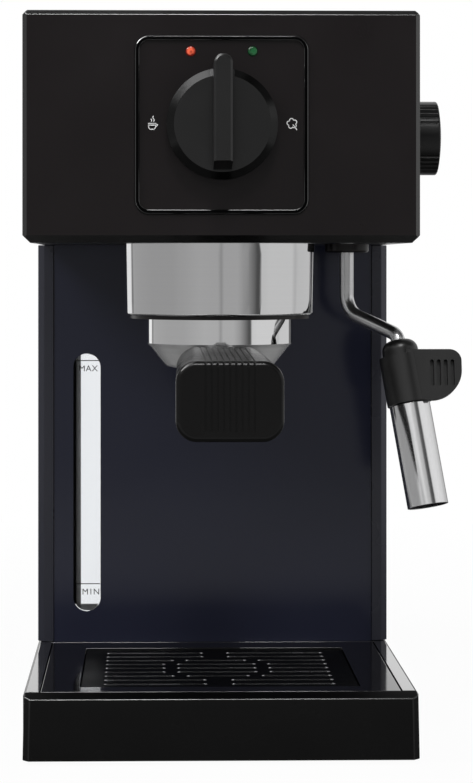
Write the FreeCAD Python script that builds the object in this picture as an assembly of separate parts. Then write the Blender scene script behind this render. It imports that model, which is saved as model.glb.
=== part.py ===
"""Slim pump espresso machine in separate pieces. Millimetres, +Z up, the front faces -Y."""
import math
import os

import FreeCAD
import Part

V = FreeCAD.Vector

# Overall size
WIDTH = 162.0
BASE_DEPTH = 285.0
FEET_HEIGHT = 1.5
BASE_HEIGHT = 27.1
BAY_HEIGHT = 183.5
HEAD_HEIGHT = 94.7
HEAD_REACH = 130.0
TOWER_DEPTH = 75.0
WALL = 2.5

# Clearances: fitted pieces, pieces that slide or turn, loose pieces at rest, running pins
FIT = 0.15
SLIDE = 0.5
REST = 0.3
RUNNING = 0.05

# Base
RAIL_WIDTH = 6.6
RAIL_CHAMFER = 1.5
PAN_WALL = 4.0
SHELF_HEIGHT = 12.0
FOOT_RADIUS = 7.0
FOOT_SEAT = 1.0
FOOT_X = 62.0
FOOT_INSET = 24.5
SCREW_RADIUS = 1.5
SCREW_HEAD_RADIUS = 3.0
SCREW_HEAD_HEIGHT = 1.4
SCREW_LENGTH = 7.0
BOSS_RADIUS = 4.5
BOSS_INSET = 7.0
GLAND_RADIUS = 6.0
GLAND_FLANGE = 8.5
GLAND_FLANGE_THICK = 2.0
GLAND_BORE = 3.6
GLAND_LENGTH = 11.0
GLAND_BACK = 57.0
GLAND_UP = 13.0

# Drip tray
PLATE_THICK = 6.5
PLATE_BEVEL = 1.9
PLATE_CORNER = 2.4
PLATE_DRAFT = 0.55
TRAY_WALL = 2.0
TRAY_TOP_THICK = 4.0
INSET_WIDTH = 116.4
INSET_FRONT = 17.0
INSET_DEPTH = 95.0
INSET_SINK = 2.5
INSET_LEDGE = 3.7
GRILLE_THICK = 1.5
SLOT_ROWS = 4
SLOT_PITCH = 9.4
SLOT_WIDTH = 3.0
SLOT_END = 48.5
BRIDGE_WIDTH = 5.0
BRIDGE_MIDDLE = 19.8
BRIDGE_NEAR = 16.0
BRIDGE_CENTRE_WIDTH = 10.4

# Tower
STILE_WIDTH = 7.3
STILE_CHAMFER = 2.8
PANEL_SINK = 0.5
PANEL_LIP = 3.0
SLOT_WINDOW_X = -58.3
SLOT_WINDOW_WIDTH = 12.6
SLOT_WINDOW_HEIGHT = 119.4
SLOT_WINDOW_LOW = 13.9
WINDOW_FLANGE = 2.0
WINDOW_FLANGE_THICK = 1.5
DUCT_LEFT_STEP = 1.3
DUCT_DROP = 7.5
DUCT_WALL = 1.5

# Head
FLOOR_THICK = 3.0
FRONT_WALL = 3.0
TOP_THICK = 2.2
TOP_CHAMFER = 1.9
HEAD_LOW_CHAMFER = 3.1
HEAD_CORNER = 1.8
TOP_RIM_HEIGHT = 4.0
TOP_RIM_THICK = 1.6

# Control panel, knob and lamps
PANEL_WIDTH = 70.8
PANEL_HEIGHT = 72.7
PANEL_RADIUS = 6.0
PANEL_THICK = 1.5
FRAME_WIDTH = 2.0
FRAME_PROUD = 1.2
FRAME_ROUND = 0.9
FRAME_INNER_ROUND = 0.5
PANEL_UP = 47.9
KNOB_RADIUS = 22.5
KNOB_FACE_RADIUS = 19.5
KNOB_HEIGHT = 10.0
KNOB_SKIRT = 7.0
FIN_WIDTH = 7.5
FIN_UP = 27.2
FIN_DOWN = 15.4
FIN_DOWN_FOOT = 18.6
FIN_HEIGHT = 12.0
FIN_EDGE = 0.9
NOSE_GAP = 2.2
SHAFT_RADIUS = 3.0
SHAFT_IN_KNOB = 7.0
SHAFT_IN_SWITCH = 8.0
SWITCH_SIZE = 36.0
SWITCH_DEPTH = 15.0
LAMP_X = 12.6
LAMP_UP = 77.9
LAMP_RADIUS = 1.95
LAMP_FLANGE = 3.0
LAMP_FLANGE_THICK = 1.2
LAMP_PROUD = 0.8
BOARD_WIDTH = 36.0
BOARD_HEIGHT = 11.0
BOARD_THICK = 1.6

# Brew group
GROUP_X = 0.8
GROUP_BACK = 55.0
COVER_TOP_RADIUS = 41.0
COVER_LOW_RADIUS = 40.5
COVER_WALL = 1.2
COVER_HEIGHT = 30.4
COVER_ROUND = 1.0
GROUP_SKIRT_RADIUS = 38.5
GROUP_SKIRT_WALL = 1.7
GROUP_PLATE_THICK = 6.1
GROUP_SKIRT_DROP = 1.5
LEDGE_HEIGHT = 3.2
LEDGE_GAP = 0.85
GASKET_THICK = 8.7
GASKET_INNER = 25.5
SCREEN_THICK = 1.6
SCREEN_DROP = 6.0
SCREEN_HOLE = 0.8
SHOWER_SCREW_RADIUS = 2.0

# Boiler
BOILER_RADIUS = 33.0
BOILER_WALL = 5.0
BOILER_FLANGE = 39.0
BOILER_FLANGE_THICK = 4.0
BOILER_LOWER_HEIGHT = 17.0
BOILER_UPPER_HEIGHT = 33.0
BOILER_NECK_RADIUS = 27.5
SEAL_THICK = 1.0
BOLT_RADIUS = 2.0
BOLT_HEAD = 2.9
BOLT_CIRCLE = 36.1
ELEMENT_RADIUS = 3.5
ELEMENT_RING = 17.0
ELEMENT_LEGS = 3.0
ELEMENT_PROUD = 9.0
THERMOSTAT_RADIUS = 8.0
THERMOSTAT_HEIGHT = 8.0
THERMOSTAT_INSET = 3.0

# Portafilter
BOWL_RADIUS = 31.35
BOWL_WALL = 2.5
BOWL_STRAIGHT = 26.4
BOWL_SHOULDER = 2.2
BOWL_SHOULDER_DROP = 2.0
BOWL_CONE = 10.4
BOWL_CONE_RADIUS = 22.6
BOWL_ROUND = 4.0
BOWL_FOOT_RADIUS = 16.0
BOWL_FOOT_DROP = 2.2
BOWL_FLOOR = 3.0
EAR_RADIUS = 36.0
EAR_HEIGHT = 3.4
EAR_WIDTH = 17.4
EAR_ROOM = 2.0
UNLOCK_TURN = 45.0
BASKET_WALL = 0.6
BASKET_DEPTH = 22.0
BASKET_RIM = 1.0
CLIP_RADIUS = 0.55
CLIP_DOWN = 8.0
DRAIN_RADIUS = 5.0
SPOUT_HUB = 9.0
SPOUT_HUB_HEIGHT = 8.0
SPOUT_ARM_DROP = 8.0
SPOUT_TUBE = 5.0
SPOUT_BORE = 2.5
SPOUT_SPREAD = 12.0
SPOUT_DROP = 10.0
NECK_RADIUS = 8.5
NECK_REACH = 48.0
NECK_BELOW_STEP = 12.1
HANDLE_START = 33.0
HANDLE_END = 130.0
HANDLE_WIDTH = 40.8
HANDLE_HEIGHT = 30.5
HANDLE_BACK_WIDTH = 38.0
HANDLE_BACK_HEIGHT = 24.0
HANDLE_CORNER = 8.0
HANDLE_BACK_CORNER = 9.0
HANDLE_EDGE = 2.0
HANDLE_TOP_BELOW_BOWL = 0.6
HANDLE_DROOP = 1.8
RIB_COUNT = 4
RIB_PITCH = 2.3
RIB_WIDTH = 0.6
RIB_DEPTH = 0.45
RIB_STOP = 4.0
STUD_RADIUS = 3.0
STUD_LENGTH = 45.0
STUD_IN_NECK = 9.0

# Steam valve, knob and wand
STEAM_BACK = 65.0
STEAM_UP = 46.0
STEAM_KNOB_RADIUS = 16.0
STEAM_KNOB_GAP = 0.6
STEAM_KNOB_WIDTH = 15.5
STEAM_KNOB_DOME = 1.7
STEAM_KNOB_ROUND = 0.9
GRIP_GROOVE = 0.8
GROOVE_GROUPS = 4
GROOVES_IN_GROUP = 5
GROOVE_STEP = 9.0
GROOVE_TURN = 40.0
SPINDLE_RADIUS = 3.0
SPINDLE_IN_VALVE = 15.0
VALVE_LENGTH = 22.0
VALVE_SIZE = 20.0
VALVE_NECK = 6.0
PIPE_RADIUS = 2.5
PIPE_BORE = 1.5
WAND_X = 56.5
COLLAR_RADIUS = 9.5
COLLAR_DROP = 3.7
COLLAR_NECK = 6.9
TUBE_RADIUS = 3.0
TUBE_BORE = 1.6
TUBE_UP = 38.0
TUBE_DROP = 29.3
SWING = 54.5
ELBOW_REACH = 32.9
ELBOW_FALL = 9.3
UPPER_BEND = 10.0
LOWER_BEND = 5.5
WAND_TILT = 15.2
GRIP_RADIUS = 9.4
GRIP_LENGTH = 20.5
GRIP_LOW = 30.05
CAP_RADIUS = 7.6
CAP_HEIGHT = 7.0
CAP_ROUND = 4.5
TAB_REACH = 23.1
TAB_HEIGHT = 21.2
TAB_ABOVE_MIDDLE = 1.3
TAB_THICK = 5.0
TAB_FORWARD = 5.7
TAB_UPPER_CORNER = 5.0
TAB_LOWER_CORNER = 12.5
TAB_SLOTS = 4
TAB_SLOT_PITCH = 2.87
TAB_SLOT_WIDTH = 1.6
TAB_SLOT_HEIGHT = 11.2
TAB_SLOT_END = 3.9
TAB_SLOT_UP = 0.6
TAB_SLOT_DEPTH = 2.5
NOZZLE_RADIUS = 5.0
NOZZLE_LENGTH = 26.0
TUBE_END = 47.45
SLEEVE_RADIUS = 8.6
SLEEVE_WALL = 0.8
SLEEVE_LENGTH = 43.0
SLEEVE_TOP = 3.5

# Water tank
TANK_WIDTH = 150.0
TANK_GAP = 2.0
TANK_BACK_INSET = 2.5
TANK_HEIGHT = 176.0
TANK_WALL = 2.2
TANK_FLOOR = 2.5
TANK_CORNER = 10.0
LID_THICK = 2.5
LID_PIN_RADIUS = 1.5
LID_BARREL = 2.6
LID_PIN_BACK = 4.0
LID_EAR_X = 34.0
LID_EAR_WIDTH = 5.0
LID_EAR_FOOT = 8.0
LID_EAR_ROOM = 0.4
SOCKET_BACK = 40.0
SOCKET_RADIUS = 9.0
SOCKET_FLANGE = 12.0
SOCKET_FLANGE_THICK = 2.0
SOCKET_BODY = 6.0
SOCKET_BORE = 6.6
VALVE_BARREL = 5.8
VALVE_COLLAR = 9.0
VALVE_COLLAR_HEIGHT = 2.7
VALVE_DIP = 4.0
VALVE_BORE = 3.0

# Pump and hoses
PUMP_BACK = 37.5
PUMP_LOW = 37.4
PUMP_BARREL_RADIUS = 11.0
PUMP_BARREL_LENGTH = 90.0
PUMP_FLANGE = 14.0
PUMP_FLANGE_THICK = 3.0
COIL_WIDTH = 46.0
COIL_DEPTH = 42.0
COIL_MOUNT_ROOM = 7.0
MOUNT_RADIUS = 17.0
MOUNT_HEIGHT = 8.0
MOUNT_IN = 6.0
BRACKET_THICK = 2.0
BRACKET_WIDTH = 38.0
BRACKET_OVER = 3.0
NIPPLE_RADIUS = 1.95
NIPPLE_BORE = 1.0
NIPPLE_LENGTH = 10.0
HOSE_RADIUS = 3.2
HOSE_BORE = 2.0
HOSE_BEND = 12.0
INLET_UP = 33.0

# Places that follow from the sizes
HALF = WIDTH / 2
FRONT = -BASE_DEPTH / 2
BACK = BASE_DEPTH / 2
TOWER_FRONT = FRONT + HEAD_REACH
TOWER_BACK = TOWER_FRONT + TOWER_DEPTH
FOOT_Y = BACK - FOOT_INSET
UNDER = FEET_HEIGHT
DECK = UNDER + BASE_HEIGHT
SHELF = UNDER + SHELF_HEIGHT
FLOOR = UNDER + WALL
HEAD_LOW = DECK + BAY_HEIGHT
HEAD_TOP = HEAD_LOW + HEAD_HEIGHT
HEAD_SEAM = HEAD_TOP - TOP_THICK
PAN_FRONT = FRONT + PLATE_THICK + SLIDE
BAY_HALF = HALF - RAIL_WIDTH
BAY_BACK = TOWER_FRONT - WALL
ROOM_HALF = HALF - PAN_WALL
ROOM_FRONT = BAY_BACK + WALL
ROOM_BACK = BACK - PAN_WALL
BOSS_X = ROOM_HALF - BOSS_INSET
BOSS_FRONT = ROOM_FRONT + BOSS_INSET
BOSS_BACK = ROOM_BACK - BOSS_INSET
GLAND_Y = TOWER_FRONT + GLAND_BACK
GLAND_Z = DECK + GLAND_UP
TRAY_HALF = BAY_HALF - SLIDE
TRAY_FRONT = FRONT + PLATE_THICK
TRAY_BACK = BAY_BACK - SLIDE
TRAY_LOW = FLOOR + SLIDE
INSET_Y = FRONT + INSET_FRONT
INSET_HALF = INSET_WIDTH / 2
PANEL_FRONT = TOWER_FRONT + PANEL_SINK
PANEL_BACK = PANEL_FRONT + WALL
PANEL_HALF = HALF - STILE_WIDTH
WINDOW_Z = DECK + SLOT_WINDOW_LOW + SLOT_WINDOW_HEIGHT / 2
DUCT_LEFT = SLOT_WINDOW_X - SLOT_WINDOW_WIDTH / 2 + DUCT_LEFT_STEP
DUCT_RIGHT = SLOT_WINDOW_X + SLOT_WINDOW_WIDTH / 2 + DUCT_LEFT_STEP
DUCT_LOW = DECK + SLOT_WINDOW_LOW - DUCT_DROP
DUCT_TOP = WINDOW_Z + SLOT_WINDOW_HEIGHT / 2 + WINDOW_FLANGE
DUCT_FRONT = PANEL_BACK + WINDOW_FLANGE_THICK
WALL_FRONT = TOWER_BACK - WALL
PANEL_Z = HEAD_LOW + PANEL_UP
LAMP_Z = HEAD_LOW + LAMP_UP
INSIDE_FRONT = FRONT + FRONT_WALL
GROUP_Y = FRONT + GROUP_BACK
COVER_LOW = HEAD_LOW - COVER_HEIGHT
PLATE_LOW = HEAD_LOW - GROUP_PLATE_THICK
SKIRT_LOW = COVER_LOW - GROUP_SKIRT_DROP
SKIRT_INNER = GROUP_SKIRT_RADIUS - GROUP_SKIRT_WALL
GASKET_LOW = PLATE_LOW - GASKET_THICK
BASKET_TOP = GASKET_LOW - REST
BOWL_TOP = BASKET_TOP - BASKET_RIM
BOWL_INNER = BOWL_RADIUS - BOWL_WALL
BOWL_STEP = BOWL_TOP - BOWL_STRAIGHT
CONE_LOW = BOWL_STEP - BOWL_CONE
BOWL_LOW = CONE_LOW - BOWL_FOOT_DROP
EAR_LOW = SKIRT_LOW + LEDGE_HEIGHT + REST
SCREEN_TOP = PLATE_LOW - SCREEN_DROP
SEAL_LOW = HEAD_LOW + FLOOR_THICK + BOILER_LOWER_HEIGHT
SEAL_TOP = SEAL_LOW + SEAL_THICK
BOILER_TOP = SEAL_TOP + BOILER_UPPER_HEIGHT
BOILER_INNER = BOILER_RADIUS - BOILER_WALL
NECK_Z = BOWL_STEP - NECK_BELOW_STEP
HANDLE_BACK_TOP = BOWL_STEP - HANDLE_TOP_BELOW_BOWL
HANDLE_TOP = HANDLE_BACK_TOP - HANDLE_DROOP
STEAM_Y = FRONT + STEAM_BACK
STEAM_Z = HEAD_LOW + STEAM_UP
VALVE_LEFT = WAND_X - VALVE_LENGTH / 2
VALVE_LOW = STEAM_Z - VALVE_SIZE / 2
TUBE_BEND_Z = HEAD_LOW - TUBE_DROP
TANK_FRONT = TOWER_BACK + TANK_GAP
TANK_BACK = BACK - TANK_BACK_INSET
TANK_HALF = TANK_WIDTH / 2
TANK_LOW = SHELF + REST
TANK_TOP = TANK_LOW + TANK_HEIGHT
LID_LOW = TANK_TOP + REST
LID_PIN_Y = TANK_FRONT + LID_PIN_BACK
LID_PIN_Z = LID_LOW + LID_BARREL
SOCKET_Y = TOWER_BACK + SOCKET_BACK
HOSE_Z = (FLOOR + SHELF - WALL) / 2
PUMP_X = GROUP_X
PUMP_Y = TOWER_FRONT + PUMP_BACK
BARREL_LOW = DECK + PUMP_LOW
BARREL_TOP = BARREL_LOW + PUMP_BARREL_LENGTH
COIL_LOW = BARREL_LOW + MOUNT_IN + MOUNT_HEIGHT + COIL_MOUNT_ROOM + PUMP_FLANGE_THICK
COIL_TOP = BARREL_TOP - MOUNT_IN - MOUNT_HEIGHT - COIL_MOUNT_ROOM - PUMP_FLANGE_THICK
INLET_Z = HEAD_LOW + INLET_UP


def box(x0, x1, y0, y1, z0, z1):
    return Part.makeBox(x1 - x0, y1 - y0, z1 - z0, V(x0, y0, z0))


def rod_x(y, z, x0, x1, radius):
    return Part.makeCylinder(radius, x1 - x0, V(x0, y, z), V(1, 0, 0))


def rod_y(x, z, y0, y1, radius):
    return Part.makeCylinder(radius, y1 - y0, V(x, y0, z), V(0, 1, 0))


def rod_z(x, y, z0, z1, radius):
    return Part.makeCylinder(radius, z1 - z0, V(x, y, z0), V(0, 0, 1))


def extruded(points, along):
    """Solid swept from a closed outline of points."""
    return Part.Face(Part.makePolygon(points + points[:1])).extrude(along)


def side_prism(outline, x0, x1):
    return extruded([V(x0, y, z) for y, z in outline], V(x1 - x0, 0, 0))


def spun(outline, x, y):
    """Solid turned about the upright axis at x, y from radius and height pairs."""
    face = Part.Face(Part.makePolygon([V(x + r, y, z) for r, z in outline + outline[:1]]))
    return face.revolve(V(x, y, 0), V(0, 0, 1), 360)


def rounded_outline(width, height, radius):
    """Wire of a rounded rectangle about the origin in the XY plane."""
    w, h, k = width / 2, height / 2, radius * (1 - math.sqrt(0.5))
    edges = []
    for sx, sy in ((1, 1), (-1, 1), (-1, -1), (1, -1)):
        first = V(sx * w, sy * (h - radius), 0)
        last = V(sx * (w - radius), sy * h, 0)
        if sx * sy < 0:
            first, last = last, first
        edges.append((first, V(sx * (w - k), sy * (h - k), 0), last))
    wire = []
    for corner, following in zip(edges, edges[1:] + edges[:1]):
        wire.append(Part.Arc(*corner).toShape())
        if corner[2].distanceToPoint(following[0]) > 0.001:
            wire.append(Part.makeLine(corner[2], following[0]))
    return Part.Wire(wire)


def facing(wire, x, y, z):
    """Turn an outline to face the front, with its centre at x, y, z."""
    turned = wire.copy()
    turned.rotate(V(0, 0, 0), V(1, 0, 0), 90)
    turned.translate(V(x, y, z))
    return turned


def front_slab(width, height, radius, x, z, y0, y1):
    """Rounded slab facing the front, from y0 back to y1."""
    face = Part.Face(facing(rounded_outline(width, height, radius), x, y1, z))
    return face.extrude(V(0, y0 - y1, 0))


def upright_slab(width, depth, radius, x, y, z0, z1):
    face = Part.Face(rounded_outline(width, depth, radius))
    face.translate(V(x, y, z0))
    return face.extrude(V(0, 0, z1 - z0))


def hose(points, bends, radius, bore):
    """Tube along straight runs joined by bends of the given radii."""
    edges = []
    start = points[0]
    for before, corner, after, bend in zip(points, points[1:], points[2:], bends):
        inward = (corner - before).normalize()
        outward = (after - corner).normalize()
        turn = inward.getAngle(outward)
        reach = bend * math.tan(turn / 2)
        enter = corner - inward * reach
        leave = corner + outward * reach
        toward = (outward - inward).normalize()
        middle = corner + toward * (bend / math.cos(turn / 2) - bend)
        edges.append(Part.makeLine(start, enter))
        edges.append(Part.Arc(enter, middle, leave).toShape())
        start = leave
    edges.append(Part.makeLine(start, points[-1]))
    path = Part.Wire(edges)
    along = (points[1] - points[0]).normalize()
    skins = []
    for size in (radius, bore):
        ring = Part.Wire(Part.makeCircle(size, points[0], along))
        skins.append(path.makePipeShell([ring], True, False))
    return skins[0].cut(skins[1])


def edges_where(shape, test):
    return [edge for edge in shape.Edges if test(edge.CenterOfMass)]


def near(a, b):
    return abs(a - b) < 0.01


def corners(x, y_front, y_back):
    return [(side * x, y) for side in (-1, 1) for y in (y_front, y_back)]


def base_pan():
    """Base moulding: side rails, tray bay, deck under the tower and shelf under the tank."""
    pan = box(-HALF, HALF, PAN_FRONT, BACK, UNDER, DECK)
    rims = edges_where(pan, lambda c: near(abs(c.x), HALF) and near(c.z, DECK))
    pan = pan.makeChamfer(RAIL_CHAMFER, rims)
    pan = pan.cut(box(-HALF - 1, HALF + 1, TOWER_BACK, BACK + 1, SHELF, DECK + 1))
    pan = pan.cut(box(-BAY_HALF, BAY_HALF, PAN_FRONT - 1, BAY_BACK, FLOOR, DECK + 1))
    pan = pan.cut(box(-ROOM_HALF, ROOM_HALF, ROOM_FRONT, WALL_FRONT, UNDER - 1, DECK - WALL))
    pan = pan.cut(box(-ROOM_HALF, ROOM_HALF, ROOM_FRONT, ROOM_BACK, UNDER - 1, SHELF - WALL))
    for x, y in corners(BOSS_X, BOSS_FRONT, BOSS_BACK):
        top = DECK if y < TOWER_BACK else SHELF
        pan = pan.fuse(rod_z(x, y, FLOOR, top - WALL / 2, BOSS_RADIUS))
        pan = pan.cut(rod_z(x, y, FLOOR - 1, FLOOR + SCREW_LENGTH - WALL, SCREW_RADIUS + FIT))
    for x in (-FOOT_X, FOOT_X):
        pan = pan.cut(rod_z(x, -FOOT_Y, UNDER - 1, UNDER + FOOT_SEAT, FOOT_RADIUS + FIT))
    pan = pan.cut(rod_z(PUMP_X, SOCKET_Y, FLOOR, SHELF + 1, SOCKET_RADIUS))
    return pan.cut(rod_z(PUMP_X, PUMP_Y, FLOOR, DECK + 1, HOSE_RADIUS + SLIDE))


def base_plate():
    """Bottom cover under the tower and tank, held by four screws."""
    plate = box(-ROOM_HALF + FIT, ROOM_HALF - FIT, ROOM_FRONT + FIT, ROOM_BACK - FIT, UNDER, FLOOR)
    for x, y in corners(BOSS_X, BOSS_FRONT, BOSS_BACK):
        plate = plate.cut(rod_z(x, y, UNDER - 1, FLOOR + 1, SCREW_RADIUS + FIT))
        plate = plate.cut(rod_z(x, y, UNDER - 1, UNDER + SCREW_HEAD_HEIGHT, SCREW_HEAD_RADIUS + FIT))
    for x in (-FOOT_X, FOOT_X):
        plate = plate.cut(rod_z(x, FOOT_Y, UNDER - 1, UNDER + FOOT_SEAT, FOOT_RADIUS + FIT))
    return plate


def casing_screws():
    screws = []
    for x, y in corners(BOSS_X, BOSS_FRONT, BOSS_BACK):
        head = rod_z(x, y, UNDER, UNDER + SCREW_HEAD_HEIGHT, SCREW_HEAD_RADIUS)
        screws.append(head.fuse(rod_z(x, y, UNDER, UNDER + SCREW_LENGTH - FIT, SCREW_RADIUS)))
    return Part.makeCompound(screws)


def rubber_feet():
    return Part.makeCompound([rod_z(x, y, 0, UNDER + FOOT_SEAT, FOOT_RADIUS)
                              for x, y in corners(FOOT_X, -FOOT_Y, FOOT_Y)])


def cord_gland():
    """Cord inlet bush low in the right side of the tower, with its nut inside."""
    inside = HALF - WALL
    tip = HALF + GLAND_FLANGE_THICK
    gland = rod_x(GLAND_Y, GLAND_Z, HALF, tip, GLAND_FLANGE)
    gland = gland.fuse(rod_x(GLAND_Y, GLAND_Z, HALF - GLAND_LENGTH, tip, GLAND_RADIUS))
    gland = gland.fuse(rod_x(GLAND_Y, GLAND_Z, inside - GLAND_FLANGE_THICK, inside, GLAND_FLANGE))
    return gland.cut(rod_x(GLAND_Y, GLAND_Z, HALF - GLAND_LENGTH - 1, tip + 1, GLAND_BORE))


def chamfered_plan(half, front, back, corner, z):
    """Plan outline with its two front corners cut off."""
    return [V(-half, back, z), V(-half, front + corner, z), V(-half + corner, front, z),
            V(half - corner, front, z), V(half, front + corner, z), V(half, back, z)]


def tray_front():
    """Front plate of the tray drawer, with a bevelled top edge and a slight draft."""
    wires = []
    for z, half in ((UNDER, HALF), (DECK, HALF - PLATE_DRAFT)):
        outline = chamfered_plan(half, FRONT, TRAY_FRONT, PLATE_CORNER, z)
        wires.append(Part.makePolygon(outline + outline[:1]))
    plate = Part.makeLoft(wires, True, True)
    drop = PLATE_BEVEL * (1 + 1 / PLATE_THICK)
    bevel = [(FRONT - 1, DECK - drop), (TRAY_FRONT, DECK), (FRONT - 1, DECK + 1)]
    return plate.cut(side_prism(bevel, -HALF - 1, HALF + 1))


def drip_tray():
    """Drip tray trough with a glossy top and a sunk seat for the grille."""
    tray = box(-TRAY_HALF, TRAY_HALF, TRAY_FRONT, TRAY_BACK, TRAY_LOW, DECK)
    tray = tray.cut(box(-TRAY_HALF + TRAY_WALL, TRAY_HALF - TRAY_WALL, TRAY_FRONT + TRAY_WALL,
                        TRAY_BACK - TRAY_WALL, TRAY_LOW + TRAY_WALL, DECK - TRAY_TOP_THICK))
    tray = tray.cut(box(-INSET_HALF, INSET_HALF, INSET_Y, INSET_Y + INSET_DEPTH, DECK - INSET_SINK, DECK + 1))
    opening = INSET_HALF - INSET_LEDGE
    return tray.cut(box(-opening, opening, INSET_Y + INSET_LEDGE, INSET_Y + INSET_DEPTH - INSET_LEDGE,
                        DECK - TRAY_TOP_THICK - 1, DECK))


def grille_slot(x0, x1, y, z):
    """Cutter for one slot with round ends."""
    r = SLOT_WIDTH / 2
    return upright_slab(x1 - x0, SLOT_WIDTH, r - 0.001, (x0 + x1) / 2, y, z - 1, z + GRILLE_THICK + 1)


def drip_grille():
    """Slotted cover plate that lifts out of the tray."""
    z = DECK - INSET_SINK + REST
    plate = box(-INSET_HALF + SLIDE, INSET_HALF - SLIDE, INSET_Y + SLIDE, INSET_Y + INSET_DEPTH - SLIDE,
                z, z + GRILLE_THICK)
    middle = INSET_Y + INSET_DEPTH / 2 - 0.5
    cutters = []
    for row in range(-SLOT_ROWS, SLOT_ROWS + 1):
        y = middle + row * SLOT_PITCH
        if abs(row) > 2:
            inner = BRIDGE_CENTRE_WIDTH / 2
        else:
            bridge = BRIDGE_MIDDLE if abs(row) < 2 else BRIDGE_NEAR
            inner = bridge + BRIDGE_WIDTH / 2
            cutters.append(grille_slot(BRIDGE_WIDTH / 2 - bridge, bridge - BRIDGE_WIDTH / 2, y, z))
        cutters.append(grille_slot(inner, SLOT_END, y, z))
        cutters.append(grille_slot(-SLOT_END, -inner, y, z))
    return plate.cut(cutters)


def tower_side(hand):
    """Tower side panel with a front stile and a lip behind the front panel."""
    wall = box(HALF - WALL, HALF, TOWER_FRONT, TOWER_BACK, DECK, HEAD_LOW)
    wall = wall.fuse(box(PANEL_HALF, HALF, TOWER_FRONT, PANEL_BACK, DECK, HEAD_LOW))
    wall = wall.fuse(box(PANEL_HALF - PANEL_LIP, HALF, PANEL_BACK, PANEL_BACK + WALL, DECK, HEAD_LOW))
    wall = wall.removeSplitter()
    corner = edges_where(wall, lambda c: near(c.x, HALF) and near(c.y, TOWER_FRONT))
    wall = wall.makeChamfer(STILE_CHAMFER, corner)
    return wall if hand > 0 else wall.mirror(V(0, 0, 0), V(1, 0, 0))


def tower_right():
    return tower_side(1).cut(rod_x(GLAND_Y, GLAND_Z, HALF - WALL - 1, HALF + 1, GLAND_RADIUS + FIT))


def tower_left():
    return tower_side(-1)


def window_slab(grow, y0, y1):
    width = SLOT_WINDOW_WIDTH + 2 * grow
    height = SLOT_WINDOW_HEIGHT + 2 * grow
    return front_slab(width, height, width / 2 - 0.001, SLOT_WINDOW_X, WINDOW_Z, y0, y1)


def tower_front_panel():
    """Glossy front panel of the tower with the level slot."""
    panel = box(-PANEL_HALF + FIT, PANEL_HALF - FIT, PANEL_FRONT, PANEL_BACK, DECK, HEAD_LOW)
    return panel.cut(window_slab(0, PANEL_FRONT - 1, PANEL_BACK + 1))


def level_window():
    """Clear pane in the level slot, with a flange behind the panel."""
    pane = window_slab(-FIT, PANEL_FRONT, PANEL_BACK + WINDOW_FLANGE_THICK / 2)
    return pane.fuse(window_slab(WINDOW_FLANGE, PANEL_BACK, DUCT_FRONT))


def sight_duct():
    """Dark duct that joins the level window to the opening in the tower's back wall."""
    outer = box(DUCT_LEFT - DUCT_WALL, DUCT_RIGHT + DUCT_WALL, DUCT_FRONT, WALL_FRONT,
                DUCT_LOW - DUCT_WALL, DUCT_TOP + DUCT_WALL)
    return outer.cut(box(DUCT_LEFT, DUCT_RIGHT, DUCT_FRONT - 1, WALL_FRONT + 1, DUCT_LOW, DUCT_TOP))


def tower_back():
    """Back wall of the tower with the level opening."""
    half = HALF - WALL - FIT
    wall = box(-half, half, WALL_FRONT, TOWER_BACK, DECK, HEAD_LOW)
    return wall.cut(box(DUCT_LEFT, DUCT_RIGHT, WALL_FRONT - 1, TOWER_BACK + 1, DUCT_LOW, DUCT_TOP))


def head_housing():
    """Head moulding: front, sides, back and floor, open at the top."""
    head = box(-HALF, HALF, FRONT, TOWER_BACK, HEAD_LOW, HEAD_SEAM)
    rims = edges_where(head, lambda c: near(c.z, HEAD_LOW) and c.y < TOWER_BACK - 1)
    head = head.makeChamfer(HEAD_LOW_CHAMFER, rims)
    outline = chamfered_plan(HALF, FRONT, TOWER_BACK, HEAD_CORNER, HEAD_LOW)
    head = head.common(extruded(outline, V(0, 0, HEAD_SEAM - HEAD_LOW)))
    head = head.cut(box(WALL - HALF, HALF - WALL, INSIDE_FRONT, WALL_FRONT, HEAD_LOW + FLOOR_THICK, HEAD_TOP))
    head = head.cut(front_slab(PANEL_WIDTH + 2 * FIT, PANEL_HEIGHT + 2 * FIT, PANEL_RADIUS + FIT, 0, PANEL_Z,
                               FRONT - 1, FRONT + PANEL_THICK))
    head = head.cut(rod_y(0, PANEL_Z, FRONT, INSIDE_FRONT + 1, SHAFT_RADIUS + SLIDE))
    for x in (-LAMP_X, LAMP_X):
        head = head.cut(rod_y(x, LAMP_Z, FRONT, INSIDE_FRONT + 1, LAMP_RADIUS + FIT))
    for x, y, radius in ((GROUP_X, GROUP_Y, BOILER_NECK_RADIUS + FIT), (WAND_X, STEAM_Y, COLLAR_NECK + FIT),
                         (PUMP_X, PUMP_Y, HOSE_RADIUS + SLIDE)):
        head = head.cut(rod_z(x, y, HEAD_LOW - 1, HEAD_LOW + FLOOR_THICK + 1, radius))
    return head.cut(rod_x(STEAM_Y, STEAM_Z, HALF - WALL - 1, HALF + 1, SPINDLE_RADIUS + SLIDE))


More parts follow.
